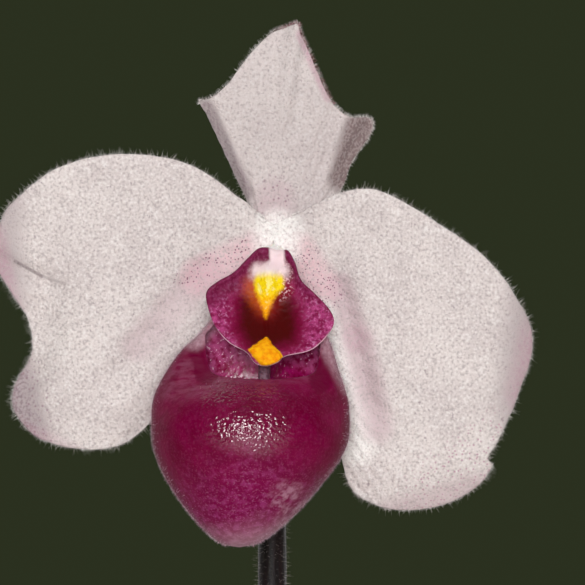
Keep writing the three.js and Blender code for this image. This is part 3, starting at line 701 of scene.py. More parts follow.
def leaf_body(s, t):
    """A leaf's share of its full thickness, which falls towards its margins and its tip."""
    return lerp(1, 0.45, smooth(abs(2 * t - 1), 0.55, 1)) * lerp(1, 0.6, smooth(s, 0.8, 1))


def rounded_off(obj):
    fine = obj.modifiers.new("rounding", "SUBSURF")
    fine.levels = 1
    fine.render_levels = 1


def thinned(obj, thickness):
    """Gives a blade its thickness, less towards its margin, and rounds it off."""
    obj.vertex_groups.new(name="body")
    wall = obj.modifiers.new("thickness", "SOLIDIFY")
    wall.thickness = thickness * MM
    wall.offset = 0
    wall.vertex_group = "body"
    wall.material_offset = len(obj.data.materials) - 1
    rounded_off(obj)


class LeafFinish(Finish):
    """One face of a leaf. flat is a place on it, laid out to its real size, and aside is how far
    off its midrib a place is, as a share of its width."""

    def __init__(self, name, **settings):
        super().__init__(name, **settings)
        size = {"Vector": self.shares, "Scale": (36 * MM, 108 * MM, 1)}
        self.flat = self.shares.node("Mapping", {}, size)
        self.aside = abs(self.shares.parts()[0] * MM - 0.5)
        self.veins = self.flat.grain(1, 1, stretch=(1.1, 60, 1))


def leaf_top():
    finish = LeafFinish("leaf_top", Coat_Weight=0.25, Coat_Roughness=0.25, Specular_IOR_Level=0.5)
    warp = finish.flat.grain(9, 2, stretch=(1, 1.5, 1))
    blotch = finish.flat.grain(5, 3, stretch=(0.62, 1.7, 1))
    marbling = (blotch + 0.35 * warp).step(0.6, 0.74)
    islands = finish.flat.cells(4.4, "DISTANCE_TO_EDGE", (0.7, 1.9, 1)).step(0.05, 0.2)
    finish.colour = (marbling * islands.most(0.35)).tint((38, 62, 30), (118, 142, 92))
    finish.flush(finish.flat.grain(0.8, 2).step(0.5, 0.7), 0.25, (60, 92, 44))
    finish.flush(finish.aside.step(0.05, 0.008), 0.6, (34, 56, 26))
    height = 0.12 * finish.veins + 0.25 * blotch + 0.05 * finish.flat.grain(0.5, 2)
    return finish.feed(Roughness=0.36 + 0.16 * blotch, Normal=finish.raised(height))


def leaf_underside():
    finish = LeafFinish("leaf_underside", Coat_Weight=0.15, Coat_Roughness=0.35)
    dots = finish.flat.cells(0.9).step(0.42, 0.2)
    crowd = finish.flat.grain(12, 3).step(0.36, 0.62)
    finish.colour = finish.flat.grain(5, 3).tint((92, 112, 68), (124, 140, 92))
    finish.flush((dots * 0.85 + 0.25) * crowd, 1, (78, 30, 52))
    finish.flush(finish.aside.step(0.05, 0.01), 0.5, (132, 150, 100))
    height = 0.14 * finish.veins + 0.06 * dots
    return finish.feed(Roughness=0.5 + 0.1 * dots, Normal=finish.raised(height))


leaf_skins = [leaf_top(), leaf_underside()]
for k, leaf in enumerate(LEAVES):
    mesh = blade(64, 20, leaf_surface(leaf), leaf_body)
    if leaf["side"] > 0:
        bmesh.ops.reverse_faces(mesh, faces=mesh.faces[:])
    name = f"leaf_{k + 1}"
    thinned(piece(name + "_blade", mesh, leaf_skins, [name]), LEAF_THICKNESS)


# Stalk: one stiff round flower stalk, dark purple and painted almost black as painted shade, under
# a coat of short pale hairs that stand straight out. It grows from the middle of the fan.
STALK_TOP = Vector((-0.2, 7, 246))
stalk_points = ((0, 0, CROWN_LEVEL + 0.6), (0.3, 1.2, 125), (-0.6, 4.2, 180), (-0.2, 6.6, 225), STALK_TOP)
stalk_places = curve_through(stalk_points, 120)


def stalk_radius(s, angle):
    return lerp(2.45, 2.15, s) * (1 + 0.02 * math.cos(5 * angle) + 0.02 * math.sin(s * 70))


hair_draw = random.Random(21)


def hairs(mesh, roots, length, radius, lean):
    """Adds a tapered hair at each root, which is a point in millimetres and the way out from it.
    The hairs lean at random, and join the mesh in tufts, which is quicker."""
    tuft = bmesh.new()
    for number, (point, way) in enumerate(roots):
        lean_by = Vector([hair_draw.gauss(0, lean) for _ in range(3)])
        way = (way.normalized() + lean_by).normalized()
        long = length * hair_draw.uniform(0.55, 1.15)
        turn = way.to_track_quat("Z", "Y").to_matrix().to_4x4()
        middle = Matrix.Translation((point + way * (long / 2 - 0.05)) * MM)
        bmesh.ops.create_cone(
            tuft, cap_ends=True, segments=3, radius1=radius * MM, radius2=0, depth=long * MM,
            matrix=middle @ turn,
        )
        if number % 40 == 39:
            tuft.to_mesh(flake)
            mesh.from_mesh(flake)
            tuft.clear()
    tuft.to_mesh(flake)
    mesh.from_mesh(flake)
    tuft.free()


def stem_roots(frames, radius_at, count, start, end):
    """Roots for hairs spread over a stem's skin, from one share of its length to another."""
    roots = []
    for _ in range(count):
        s = hair_draw.uniform(start, end)
        angle = hair_draw.uniform(0, 2 * math.pi)
        point = on_skin(frames, s, angle, radius_at(s, angle))
        roots.append((point, point - on_skin(frames, s, angle, 0)))
    return roots


def hair_finish(name, dark, light):
    """Fine hairs whose colour drifts from hair to hair."""
    finish = Finish(name, Roughness=0.45, Sheen_Weight=0.3)
    finish.colour = finish.place.grain(2, 1).step(0.35, 0.65).tint(dark, light)
    return finish.feed()


def dark_skin(name, dark, light, flecks, share):
    """A hairy stem's skin: two shades in streaks along it, with a share of flecks over them."""
    finish = Finish(name, Roughness=0.5, Specular_IOR_Level=0.3)
    streaks = finish.place.grain(1.6, 3, stretch=(0.5, 0.5, 5))
    specks = finish.place.grain(0.35, 2)
    finish.colour = streaks.step(0.35, 0.65).tint(dark, light)
    finish.flush(specks.step(0.56, 0.7), share, flecks)
    return finish.feed(Normal=finish.raised(0.08 * specks + 0.1 * streaks))


# Painted shade: the dark purple skin is painted almost black.
stalk_skin = dark_skin("stalk_skin", (10, 3, 6), (26, 10, 14), (70, 62, 38), 0.3)
piece("stalk_bare", stem(stalk_places, stalk_radius, 28), [stalk_skin], ["stalk"], sharp=60)
stalk_coat = bmesh.new()
roots = stem_roots(framed(stalk_places), stalk_radius, 3600, 0.16, 1)
hairs(stalk_coat, roots, length=1.1, radius=0.016, lean=0.22)
pale_hair = hair_finish("pale_hair", (150, 128, 128), (214, 200, 196))
piece("stalk_hairs", stalk_coat, [pale_hair])


# Bloom's ovary and bract: the ovary is a ribbed green and purple stem, densely haired, that bends
# forward and carries the bloom. A small hairy bract sheathes its foot.
BLOOM = Vector((0, -13, 284))
BRACT_THICKNESS = 0.8
STALK_GAP = 0.35
ovary_points = (
    STALK_TOP + Vector((0, 0, STALK_GAP)), (-0.1, 7, 258), (0, 4.6, 270), (0, -1.5, 279),
    (0, BLOOM.y + 5.5, BLOOM.z - 2.4), (0, BLOOM.y + 2.6, BLOOM.z - 2.6),
)
ovary_places = curve_through(ovary_points, 70)


def ovary_radius(s, angle):
    swell = 2 + 0.75 * math.sin(math.pi * min(s / 0.9, 1)) + 1.2 * smooth(s, 0.88, 1)
    return swell * (1 + 0.06 * math.cos(6 * angle))


ovary_skin = dark_skin("ovary_skin", (86, 62, 50), (120, 104, 66), (84, 34, 50), 0.6)
piece("ovary_ribbed", stem(ovary_places, ovary_radius, 48), [ovary_skin], ["ovary"], sharp=60)
ovary_coat = bmesh.new()
roots = stem_roots(framed(ovary_places), ovary_radius, 2600, 0, 0.94)
hairs(ovary_coat, roots, length=0.9, radius=0.04, lean=0.25)
piece("ovary_hairs", ovary_coat, [pale_hair])

ovary_line = curve_through(ovary_points, 200)


def bract_place(s, t):
    angle = (2 * t - 1) * math.radians(lerp(118, 8, smooth(s, 0.15, 1.05)))
    radius = 3.5 + 1.6 * s + 0.9 * smooth(s, 0.6, 1)
    return Vector((
        ovary_line[round(0.42 * s * 200)].x + radius * math.sin(angle),
        STALK_TOP.y + radius * math.cos(angle) + 1.4 * s**2,
        STALK_TOP.z - 2 + 21 * s,
    ))


def bract_body(s, t):
    return lerp(1, 0.5, smooth(abs(2 * t - 1), 0.7, 1))


def bract_skin():
    finish = Finish("bract_skin", Roughness=0.55, Sheen_Weight=0.2)
    spots = finish.place.cells(0.9).step(0.45, 0.25)
    veins = finish.shares.grain(60, 1, stretch=(1, 40, 1))
    finish.colour = veins.step(0.35, 0.65).tint((96, 98, 58), (132, 132, 84))
    finish.flush(spots, 0.8, (84, 36, 48))
    return finish.feed(Normal=finish.raised(0.12 * veins))


bract_mesh = blade(32, 28, bract_place, bract_body)
thinned(piece("bract_sheath", bract_mesh, [bract_skin()], ["bract"]), BRACT_THICKNESS)
bract_coat = bmesh.new()
roots = []
for _ in range(700):
    s = hair_draw.random()
    t = hair_draw.random() if hair_draw.random() < 0.6 else hair_draw.choice((0.0, 1.0))
    point = bract_place(s, t)
    way = point - Vector((0, STALK_TOP.y - 1, point.z))
    roots.append((point + way.normalized() * 0.3, way))
hairs(bract_coat, roots, length=0.8, radius=0.035, lean=0.3)
piece("bract_hairs", bract_coat, [pale_hair])


# Dorsal sepal: a shallow velvety hood, pinkish white, that stands up behind the petals. Its left
# margin is turned back, its right corner is cupped forward, and dark red hairs fringe its tip.
SEPAL_THICKNESS = 0.9


def in_bloom(u, h, w):
    """A place given from where the bloom's pieces join: to the right, towards the viewer and up."""
    return Vector((BLOOM.x + u, BLOOM.y - h, BLOOM.z + w))


def bump(x, middle, reach):
    return math.exp(-(((x - middle) / reach) ** 2))


def fold(u, w, start, end, reach):
    """A fold of height 1 along a line, fading over about reach beside it and beyond its ends."""
    length = math.hypot(end[0] - start[0], end[1] - start[1])
    along_u = (end[0] - start[0]) / length
    along_w = (end[1] - start[1]) / length
    along = (u - start[0]) * along_u + (w - start[1]) * along_w
    aside = (u - start[0]) * along_w - (w - start[1]) * along_u
    beyond = max(-along, along - length, 0)
    return bump(aside, 0, reach) * bump(beyond, 0, 2 * reach)


def outline_through(points):
    """A smooth outline through points as place(t), with t from 0 to 1."""
    def place(t):
        part = t * (len(points) - 1)
        i = min(int(part), len(points) - 2)
        x = part - i
        around = [points[max(i - 1, 0)], points[i], points[i + 1], points[min(i + 2, len(points) - 1)]]
        result = []
        for p0, p1, p2, p3 in zip(*around):
            slope1 = (p2 - p0) / 2
            slope2 = (p3 - p1) / 2
            result.append(
                (2 * x**3 - 3 * x**2 + 1) * p1 + (x**3 - 2 * x**2 + x) * slope1
                + (3 * x**2 - 2 * x**3) * p2 + (x**3 - x**2) * slope2
            )
        return result
    return place


class Tepal:
    """A petal or sepal. Its outline runs from one end of its base round to the other, and each
    point of it lies a share s of the way from the base out to the outline."""

    def __init__(self, base, outline, depth):
        self.base = base
        self.outline = outline
        self.edge = outline_through(outline)
        self.depth = depth

    def soft_edge(self, t):
        """The outline with its corners evened out, so that only the margin itself has them."""
        around = [self.edge(min(max(t + step, 0), 1)) for step in (-0.05, -0.025, 0, 0.025, 0.05)]
        return [sum(parts) / len(around) for parts in zip(*around)]

    def spot(self, s, t):
        rim_u, rim_w = self.edge(t)
        soft_u, soft_w = self.soft_edge(t)
        ragged = 0.22 * noise.noise(Vector((rim_u * 0.7, rim_w * 0.7, 4)))
        out = s + ragged * s**7 / (math.hypot(rim_u, rim_w) + 4)
        u = lerp(lerp(self.base[0][0], self.base[1][0], t), soft_u, out) + (rim_u - soft_u) * s**8
        w = lerp(lerp(self.base[0][1], self.base[1][1], t), soft_w, out) + (rim_w - soft_w) * s**8
        return u, w

    def place(self, s, t):
        u, w = self.spot(s, t)
        ripple = 0.1 * noise.noise(Vector((u * 0.22, w * 0.22, 1)))
        ripple += 0.25 * noise.noise(Vector((u * 0.35, w * 0.35, 7))) * s**5
        return in_bloom(u, self.depth(u, w) + ripple, w)

    def body(self, s, t):
        return lerp(1, 0.4, smooth(s, 0.82, 1))

    def mesh(self):
        mesh = blade(44, 5 * (len(self.outline) - 1), self.place, self.body)
        mesh.normal_update()
        if sum(face.normal.y * face.calc_area() for face in mesh.faces) > 0:
            bmesh.ops.reverse_faces(mesh, faces=mesh.faces[:])
        return mesh

    def margin_roots(self, count, start=0.02, end=0.98):
        """Roots for a fringe of hairs along the margin, from one share of the outline to another."""
        roots = []
        for _ in range(count):
            t = hair_draw.uniform(start, end)
            point = self.place(1, t)
            out = point - self.place(0.94, t)
            ahead = self.place(1, min(t + 0.004, 1)) - self.place(1, max(t - 0.004, 0))
            out = out - ahead * (out.dot(ahead) / ahead.length_squared)
            roots.append((point + Vector((0, hair_draw.uniform(-0.15, 0.15), 0)), out))
        return roots

    def back_roots(self, count):
        """Roots for the down of its back."""
        roots = []
        for _ in range(count):
            s = math.sqrt(hair_draw.uniform(0.01, 1))
            point = self.place(s, hair_draw.random())
            roots.append((point + Vector((0, 0.3, 0)), Vector((0, 1, 0))))
        return roots


dorsal_sepal = Tepal(
    base=((-1.3, -0.5), (1.3, -0.5)),
    outline=(
        (-2, 2.4), (-4.2, 5.6), (-6.2, 10), (-8.2, 15.2), (-9.9, 18), (-11, 19.5), (-9.2, 20.1),
        (-6.8, 22.1), (-3.5, 26.5), (-0.5, 29.5), (1.8, 30.5), (3.6, 31), (4.1, 29.6), (5.2, 27.3),
        (6.8, 23.5), (8.2, 20.5), (9.8, 18.3), (11.6, 17.2), (14.2, 17), (14.9, 16.1), (14.5, 14.5),
        (13, 12.3), (11.5, 10), (10.5, 7), (9, 5), (5.6, 2.6), (2.4, 0.6),
    ),
    depth=lambda u, w: (
        -1.7 + 3.6 * smooth(w, 3, 27) + 0.012 * (u - 0.1 * w) ** 2
        + 0.8 * fold(u, w, (3.6, 31), (1.6, 19), 1.4)
        - 2.2 * fold(u, w, (-4.6, 5.4), (-11.4, 19.8), 1.5)
        + 2.2 * fold(u, w, (15.6, 15.6), (11.6, 6.4), 2.6)
        - 1.2 * fold(u, w, (9.8, 15.6), (8, 8), 2.4)
    ),
)


class BloomFinish(Finish):
    """A finish that knows how far a place is to the right of the bloom's middle, u, and above it,
    w, in millimetres."""

    def __init__(self, name, **settings):
        super().__init__(name, **settings)
        x, _, z = self.place.parts()
        self.u = x - BLOOM.x
        self.w = z - BLOOM.z

    def near(self, start, end, reach):
        """1 on the line between two spots, fading to 0 at reach from it."""
        length = math.hypot(end[0] - start[0], end[1] - start[1])
        along_u = (end[0] - start[0]) / length
        along_w = (end[1] - start[1]) / length
        along = (self.u - start[0]) * along_u + (self.w - start[1]) * along_w
        aside = abs((self.u - start[0]) * along_w - (self.w - start[1]) * along_u)
        beyond = (-along).most(along - length).most(0)
        return (aside * aside + beyond * beyond).step(reach**2, 0)


class Velvet(BloomFinish):
    """The velvety skin of petals and sepals: a white ground of tiny glistening cells, which each
    piece flushes and dots in its own way. Some pieces also paint shade along folds and margins,
    and light where their base falls in shade near the bloom's middle."""

    def __init__(self, name):
        super().__init__(
            name, Specular_IOR_Level=0.3, Sheen_Weight=0.1, Sheen_Roughness=0.4, Subsurface_Weight=0.1,
            Subsurface_Scale=1.2 * MM, Subsurface_Radius=(1, 0.75, 0.7),
        )
        self.cell = self.place.grain(0.42, 2)
        self.colour = self.place.grain(7, 3).step(0.3, 0.7).tint((210, 198, 197), (222, 211, 209))
        self.flush(self.cell.step(0.5, 0.3), 0.55, (160, 146, 148))
        self.flush(self.cell.step(0.52, 0.7), 0.55, (243, 237, 236))
        self.flush(self.place.grain(0.5, 2).step(0.67, 0.72), 0.4, (120, 92, 106))
        self.height = 0.2 * self.cell + 0.08 * self.place.grain(0.2, 1)

    def streak(self, start, end, reach, strength, colour):
        """A flush along a line, which the cells break up: a colour of the piece, or painted shade or light.
        """
        self.flush(self.near(start, end, reach) * (1 + 2.6 * (self.cell - 0.5)), strength, colour)

    def dots(self, start, end, reach, strength, colour, size):
        """Small round dots along a line. size is how far apart they are, in millimetres."""
        spots = self.place.cells(size).step(0.3, 0.18)
        self.flush(spots * self.near(start, end, reach), strength, colour)

    def veins(self, way, spread, strength):
        """Fine raised veins that fan out from the base. way is how far round the fan a place is."""
        phase = way * spread + 4 * self.place.grain(5, 2)
        self.height = self.height + strength * phase.node("Math", {"operation": "SINE"}, {0: phase})

    def done(self):
        return self.feed(Roughness=0.52 + 0.2 * self.cell, Normal=self.raised(self.height))


PINK = (190, 150, 164)
# This mauve is a tinge of the tissue. It also serves as painted shade on folds and turned-back margins.
MAUVE_TINGE_AND_SHADE = (150, 132, 138)
# This white is painted light. It brightens places that fall in shade: near the bloom's middle and along the
# right petal's inner margin.
HIGHLIGHT_WHITE = (255, 250, 247)
# This colour is painted shade, for thin creases.
CREASE_SHADE = (112, 94, 98)
BLUSH = (230, 190, 198)
PURPLE_DOT = (124, 70, 98)

dorsal_velvet = Velvet("dorsal_velvet")
dorsal_velvet.veins(dorsal_velvet.u / (dorsal_velvet.w + 6), 60, 0.06)
# Painted shade: a faint mauve over the whole hood darkens it a little.
dorsal_velvet.streak((2, 0), (2, 24), 16, 0.16, MAUVE_TINGE_AND_SHADE)
# Painted shade: mauve along the turned-back left margin.
dorsal_velvet.streak((-10, 18.5), (-4.2, 6), 1.7, 0.7, MAUVE_TINGE_AND_SHADE)
# Painted shade: grey mauve inside the cupped right corner.
dorsal_velvet.streak((13, 15.6), (10.6, 8), 3, 0.9, (132, 112, 112))
dorsal_velvet.streak((4.4, 29.4), (8.4, 20.4), 1.3, 0.6, PINK)
dorsal_velvet.streak((0, 2.5), (0.3, 5), 4, 0.3, PINK)
dorsal_velvet.dots((0, 2), (0.5, 6), 4, 0.5, PURPLE_DOT, 0.7)
# Painted light: white brightens the shaded foot of the hood at the bloom's middle.
dorsal_velvet.streak((0.4, -2), (0.6, 0.4), 4, 0.75, HIGHLIGHT_WHITE)
thinned(
    piece("dorsal_sepal_hood", dorsal_sepal.mesh(), [dorsal_velvet.done()], ["dorsal_sepal"]),
    SEPAL_THICKNESS,
)

white_hair = hair_finish("white_hair", (222, 208, 208), (242, 234, 232))
red_hair = hair_finish("red_hair", (112, 34, 50), (150, 70, 84))
dorsal_fringe = bmesh.new()
hairs(dorsal_fringe, dorsal_sepal.margin_roots(800), length=0.7, radius=0.03, lean=0.3)
piece("dorsal_sepal_fringe", dorsal_fringe, [white_hair])
dorsal_tip = bmesh.new()
hairs(dorsal_tip, dorsal_sepal.margin_roots(260, 0.36, 0.6), length=0.75, radius=0.035, lean=0.3)
piece("dorsal_sepal_red_hairs", dorsal_tip, [red_hair])


# Synsepal: the two lower sepals, grown into one thin velvety blade that hangs behind the lip. It
# has two small points at its tip, a keel down its middle and down on its back.
synsepal = Tepal(
    base=((-1.4, -3.6), (1.4, -3.6)),
    outline=(
        (-2.2, -5.2), (-5.6, -9), (-8.8, -14.6), (-10, -21.4), (-8.4, -28.2), (-5.4, -32.6),
        (-3, -34.6), (-1, -34), (0.6, -34.8), (3.4, -33), (6.4, -28.4), (8, -21.6), (7.2, -14.6),
        (4.8, -9), (2.2, -5.2),
    ),
    depth=lambda u, w: (
        -1.65 - 5 * smooth(-w, 6, 34) + 0.03 * (u + 1) ** 2 - 0.6 * fold(u, w, (0, -8), (-1, -36), 1.5)
    ),
)
synsepal_velvet = Velvet("synsepal_velvet")
synsepal_velvet.veins(synsepal_velvet.u / synsepal_velvet.w, 50, 0.05)
synsepal_velvet.streak((0, -4), (-1, -34), 2.4, 0.35, MAUVE_TINGE_AND_SHADE)
thinned(
    piece("synsepal_blade", synsepal.mesh(), [synsepal_velvet.done()], ["synsepal"]),
    SEPAL_THICKNESS,
)
synsepal_fringe = bmesh.new()
hairs(synsepal_fringe, synsepal.margin_roots(420, 0, 1), length=0.6, radius=0.03, lean=0.3)
hairs(synsepal_fringe, synsepal.back_roots(600), length=0.45, radius=0.025, lean=0.4)
piece("synsepal_hairs", synsepal_fringe, [white_hair])


# Petals: the two broad white blades, joined to the ovary's end beside the column. They dome
# towards the viewer, their inner margins fall back behind the lip, and pale hairs fringe them.
PETAL_THICKNESS = 0.8


def petal_dome(u, w, start, end, height):
    length = math.hypot(end[0] - start[0], end[1] - start[1])
    crossed = (u - start[0]) * (end[1] - start[1]) - (w - start[1]) * (end[0] - start[0])
    reach = math.hypot(u, w + 2.5) / 44
    return (height * math.sin(1.95 * reach) - 2 * reach**3) * smooth(abs(crossed) / length, -3, 7)


left_petal = Tepal(
    base=((0.5, 0.8), (-0.6, -5.6)),
    outline=(
        (-2.6, 2.6), (-4.9, 4.8), (-9, 8.1), (-13.5, 10.4), (-18.5, 11.4), (-24, 11.5), (-29, 10.6),
        (-33.5, 8.8), (-37.4, 5.7), (-40.3, 2.6), (-41.5, -1.4), (-41.2, -5.6), (-39, -9.2),
        (-36.8, -12.8), (-36, -16.6), (-36.5, -19.2), (-38.3, -22), (-39.2, -25.2), (-38.1, -28),
        (-34.8, -31), (-29, -32.5), (-23.4, -32.1), (-19.7, -29.8), (-15.6, -25.4), (-11.6, -20),
        (-7.6, -13.8), (-4.4, -8.8),
    ),
    depth=lambda u, w: (
        0.3 + petal_dome(u, w, (-2.7, -5.6), (-19.7, -29.8), 4.2)
        - 1.3 * fold(u, w, (-11, -6), (-21, -19), 2.6)
        - 1 * fold(u, w, (-42, -3.6), (-34, -7.2), 1.3)
        - 1.9 * fold(u, w, (-35, -14), (-36.5, -19), 4)
    ),
)
left_velvet = Velvet("left_velvet")
left_velvet.veins((left_velvet.w + 4) / (left_velvet.u - 8), 52, 0.05)
# A mauve tinge on the outer margin, partly painted shade where it curls away.
left_velvet.streak((-43, 6), (-42, -9), 7, 0.5, MAUVE_TINGE_AND_SHADE)
left_velvet.streak((-42.5, -1), (-40, -12), 3.4, 0.5, PINK)
# Painted shade, with a mauve tinge, where the lower margin curls back.
left_velvet.streak((-40.5, -21), (-38, -30), 6, 0.8, MAUVE_TINGE_AND_SHADE)
left_velvet.streak((-38.5, -30), (-30, -34), 3, 0.3, PINK)
left_velvet.streak((-2.4, -2.8), (-11, -6.8), 3.8, 0.62, BLUSH)
# Pink along the channel, partly painted shade in its hollow.
left_velvet.streak((-10, -6), (-20, -17), 3.4, 0.26, PINK)
# Painted shade along thin creases in the petal.
left_velvet.streak((-38.5, -4.4), (-34.6, -6.6), 0.34, 0.55, CREASE_SHADE)
left_velvet.streak((-34.6, -6.6), (-31, -7.8), 0.3, 0.25, CREASE_SHADE)
left_velvet.streak((-31, -14.2), (-17, -9.6), 0.3, 0.12, CREASE_SHADE)
left_velvet.dots((-4.5, -2.6), (-13, -6.8), 3, 0.9, PURPLE_DOT, 0.5)
left_velvet.dots((-37, -20), (-34, -30), 5, 0.4, PURPLE_DOT, 0.8)
# Painted light: white brightens the shaded base of the petal at the bloom's middle.
left_velvet.streak((0.4, -2.4), (0.4, 0), 4.4, 0.75, HIGHLIGHT_WHITE)

right_petal = Tepal(
    base=((-0.3, 0.8), (0.6, -5.4)),
    outline=(
        (2.6, 2.2), (5.4, 3.6), (9, 5.4), (12.4, 6.3), (15.4, 6.2), (19.4, 4.5), (25, 1), (30.2, -2.6),
        (34, -6.4), (36.6, -10.4), (38.5, -14), (38.7, -18.6), (37.2, -22.8), (35.5, -27.4),
        (33.6, -31.4), (32.1, -33.8), (32.8, -35.2), (30.6, -38.2), (26.6, -40.5), (22, -41.6),
        (17, -41.4), (12.6, -39.4), (10.9, -36.4), (10.5, -33), (8.8, -27.4), (7, -21), (5.4, -14.6),
        (4, -9),
    ),
    depth=lambda u, w: (
        0.3 + petal_dome(u, w, (2.7, -5.4), (10.8, -36), 4.8)
        + 0.5 * fold(u, w, (7.4, -10), (11.8, -26), 1.7) - 0.9 * fold(u, w, (10.4, -9), (14.6, -25), 1.5)
        + 0.7 * fold(u, w, (13.4, -7.6), (18, -25), 2.2)
        - 1.2 * fold(u, w, (39.5, -13), (39, -22), 3)
        - 1.4 * fold(u, w, (31, -40), (20, -43), 3)
    ),
)
right_velvet = Velvet("right_velvet")
right_velvet.veins((right_velvet.w + 4) / (right_velvet.u + 8), 52, 0.05)
right_velvet.streak((3.4, -3), (7, -8.4), 4, 0.62, BLUSH)
# Painted light: white brightens the inner margin, which tilts away into shade beside the lip.
right_velvet.streak((6.5, -13), (12.4, -32), 4, 0.8, HIGHLIGHT_WHITE)
# Pink down the valley beside the ridge, partly painted shade in its hollow.
right_velvet.streak((10, -8), (12.6, -16.2), 2.6, 0.34, PINK)
right_velvet.streak((12.6, -16.2), (15.4, -29), 3.4, 0.36, PINK)
# A mauve tinge on the outer margin, partly painted shade where it curls back.
right_velvet.streak((43, -6), (41, -26), 10, 0.55, MAUVE_TINGE_AND_SHADE)
right_velvet.streak((40.5, -16), (38.5, -24), 5, 0.45, PINK)
right_velvet.streak((31, -39), (18, -43), 4, 0.3, PINK)
right_velvet.dots((4.4, -2.6), (8.6, -9.4), 2.9, 0.9, PURPLE_DOT, 0.46)
right_velvet.dots((33, -32), (24, -39), 7, 0.9, PINK, 0.62)
# Painted light: white brightens the shaded base of the petal at the bloom's middle.
right_velvet.streak((0.6, -2.4), (1, 0), 4.6, 0.75, HIGHLIGHT_WHITE)

for side, petal, velvet in (("left", left_petal, left_velvet), ("right", right_petal, right_velvet)):
    mesh = petal.mesh()
    obj = piece(side + "_petal_blade", mesh, [velvet.done()], ["petal_" + side])
    thinned(obj, PETAL_THICKNESS)

for side, petal in (("left", left_petal), ("right", right_petal)):
    fringe = bmesh.new()
    hairs(fringe, petal.margin_roots(1400), length=0.45, radius=0.018, lean=0.35)
    hairs(fringe, petal.margin_roots(320), length=1.2, radius=0.018, lean=0.3)
    piece(side + "_petal_fringe", fringe, [white_hair])


# Lip: one petal grown into a hollow egg-shaped pouch with a thin waxy wall. Its mouth opens under
# the column, low and nearly level across the front and high behind. Fine down covers its outside.
LIP_WALL = 0.9
POUCH_FOOT = -46.6
POUCH_HEIGHT = 31.6
POUCH_DEPTH = 11


def graph_through(points):
    """A smooth graph through (x, y) points whose x rises."""
    def height(x):
        i = 0
        while i < len(points) - 2 and x > points[i + 1][0]:
            i += 1
        (x0, y0), (x1, y1) = points[i], points[i + 1]
        before = points[max(i - 1, 0)]
        after = points[min(i + 2, len(points) - 1)]
        slope0 = (y1 - before[1]) / (x1 - before[0]) * (x1 - x0)
        slope1 = (after[1] - y0) / (after[0] - x0) * (x1 - x0)
        t = min(max((x - x0) / (x1 - x0), 0), 1)
        return (
            (2 * t**3 - 3 * t**2 + 1) * y0 + (t**3 - 2 * t**2 + t) * slope0
            + (3 * t**2 - 2 * t**3) * y1 + (t**3 - t**2) * slope1
        )
    return height


pouch_half_width = graph_through((
    (0, 0), (0.012, 2.1), (0.05, 4.2), (0.125, 6.8), (0.24, 9.9), (0.39, 13), (0.5, 14.4),
    (0.62, 14.6), (0.71, 14.3), (0.84, 12.6), (0.93, 11.1), (1, 9.4),
))
pouch_front = graph_through((
    (0, 0), (0.012, 2), (0.05, 3.9), (0.125, 6), (0.24, 8.7), (0.4, 11.2), (0.6, 12.6), (0.75, 12.1),
    (0.88, 10), (1, 6.6),
))
pouch_back = graph_through((
    (0, 0), (0.012, 1.7), (0.05, 3.2), (0.125, 4.8), (0.24, 6.4), (0.4, 7.5), (0.6, 7.9), (0.8, 7.9),
    (1, 8),
))
pouch_middle = graph_through((
    (0, -5), (0.1, -4.6), (0.3, -4), (0.5, -3.3), (0.75, -3.2), (0.9, -2.5), (1, -1.4),
))
mouth_lift = graph_through(((-1, 7), (-0.5, 1.2), (0, -0.8), (0.25, -3.5), (0.5, -5.9), (1, -7)))


def pouch_point(level, angle, inset=0.0, lift=0.0):
    """A point of the pouch, from level 0 at its foot to 1 at its mouth. Angle 0 faces the viewer."""
    facing = math.cos(angle)
    claw = 0.9 * bump(abs(angle - math.pi), 0, 0.5)
    height = POUCH_HEIGHT + (claw + mouth_lift(facing)) * level
    half = max(pouch_half_width(level) - inset, 0)
    reach = max((pouch_front(level) if facing > 0 else pouch_back(level)) - inset, 0)
    return in_bloom(
        pouch_middle(level) + half * math.sin(angle),
        POUCH_DEPTH + reach * facing,
        POUCH_FOOT + height * level + lift,
    )


outside_levels = [0.12 * (k / 9) ** 1.6 for k in range(10)] + [lerp(0.12, 1, k / 40) for k in range(1, 41)]
rim_steps = [(1, 0.2, 0.22), (1, 0.5, 0.3), (1, 0.8, 0.2), (1, 1, -0.1), (0.98, 1.1, 0)]
inside_levels = [lerp(0.95, 0.05, k / 30) for k in range(31)]
pouch_rings = [(level, 0, 0) for level in outside_levels] + rim_steps
RIM_SHARE = (len(outside_levels) + 1) / (len(pouch_rings) + len(inside_levels))
pouch_rings += [(level, LIP_WALL + 0.2, 0.35) for level in inside_levels] + [(0.02, 9, 1)]


def pouch_place(s, t):
    level, inset, lift = pouch_rings[round(s * (len(pouch_rings) - 1))]
    angle = 2 * math.pi * t
    place = pouch_point(level, angle % (2 * math.pi), inset, lift)
    dimple = 0.2 * noise.noise(place * 0.16) + 0.07 * noise.noise(place * 0.5)
    wrinkle = 0.03 * noise.noise(Vector((place.x * 1.2, place.y, place.z * 1.3)))
    return place + Vector((0, (dimple + wrinkle) * smooth(level, 0, 0.15), 0))


lip_mesh = blade(len(pouch_rings) - 1, 100, pouch_place)
weld(lip_mesh)


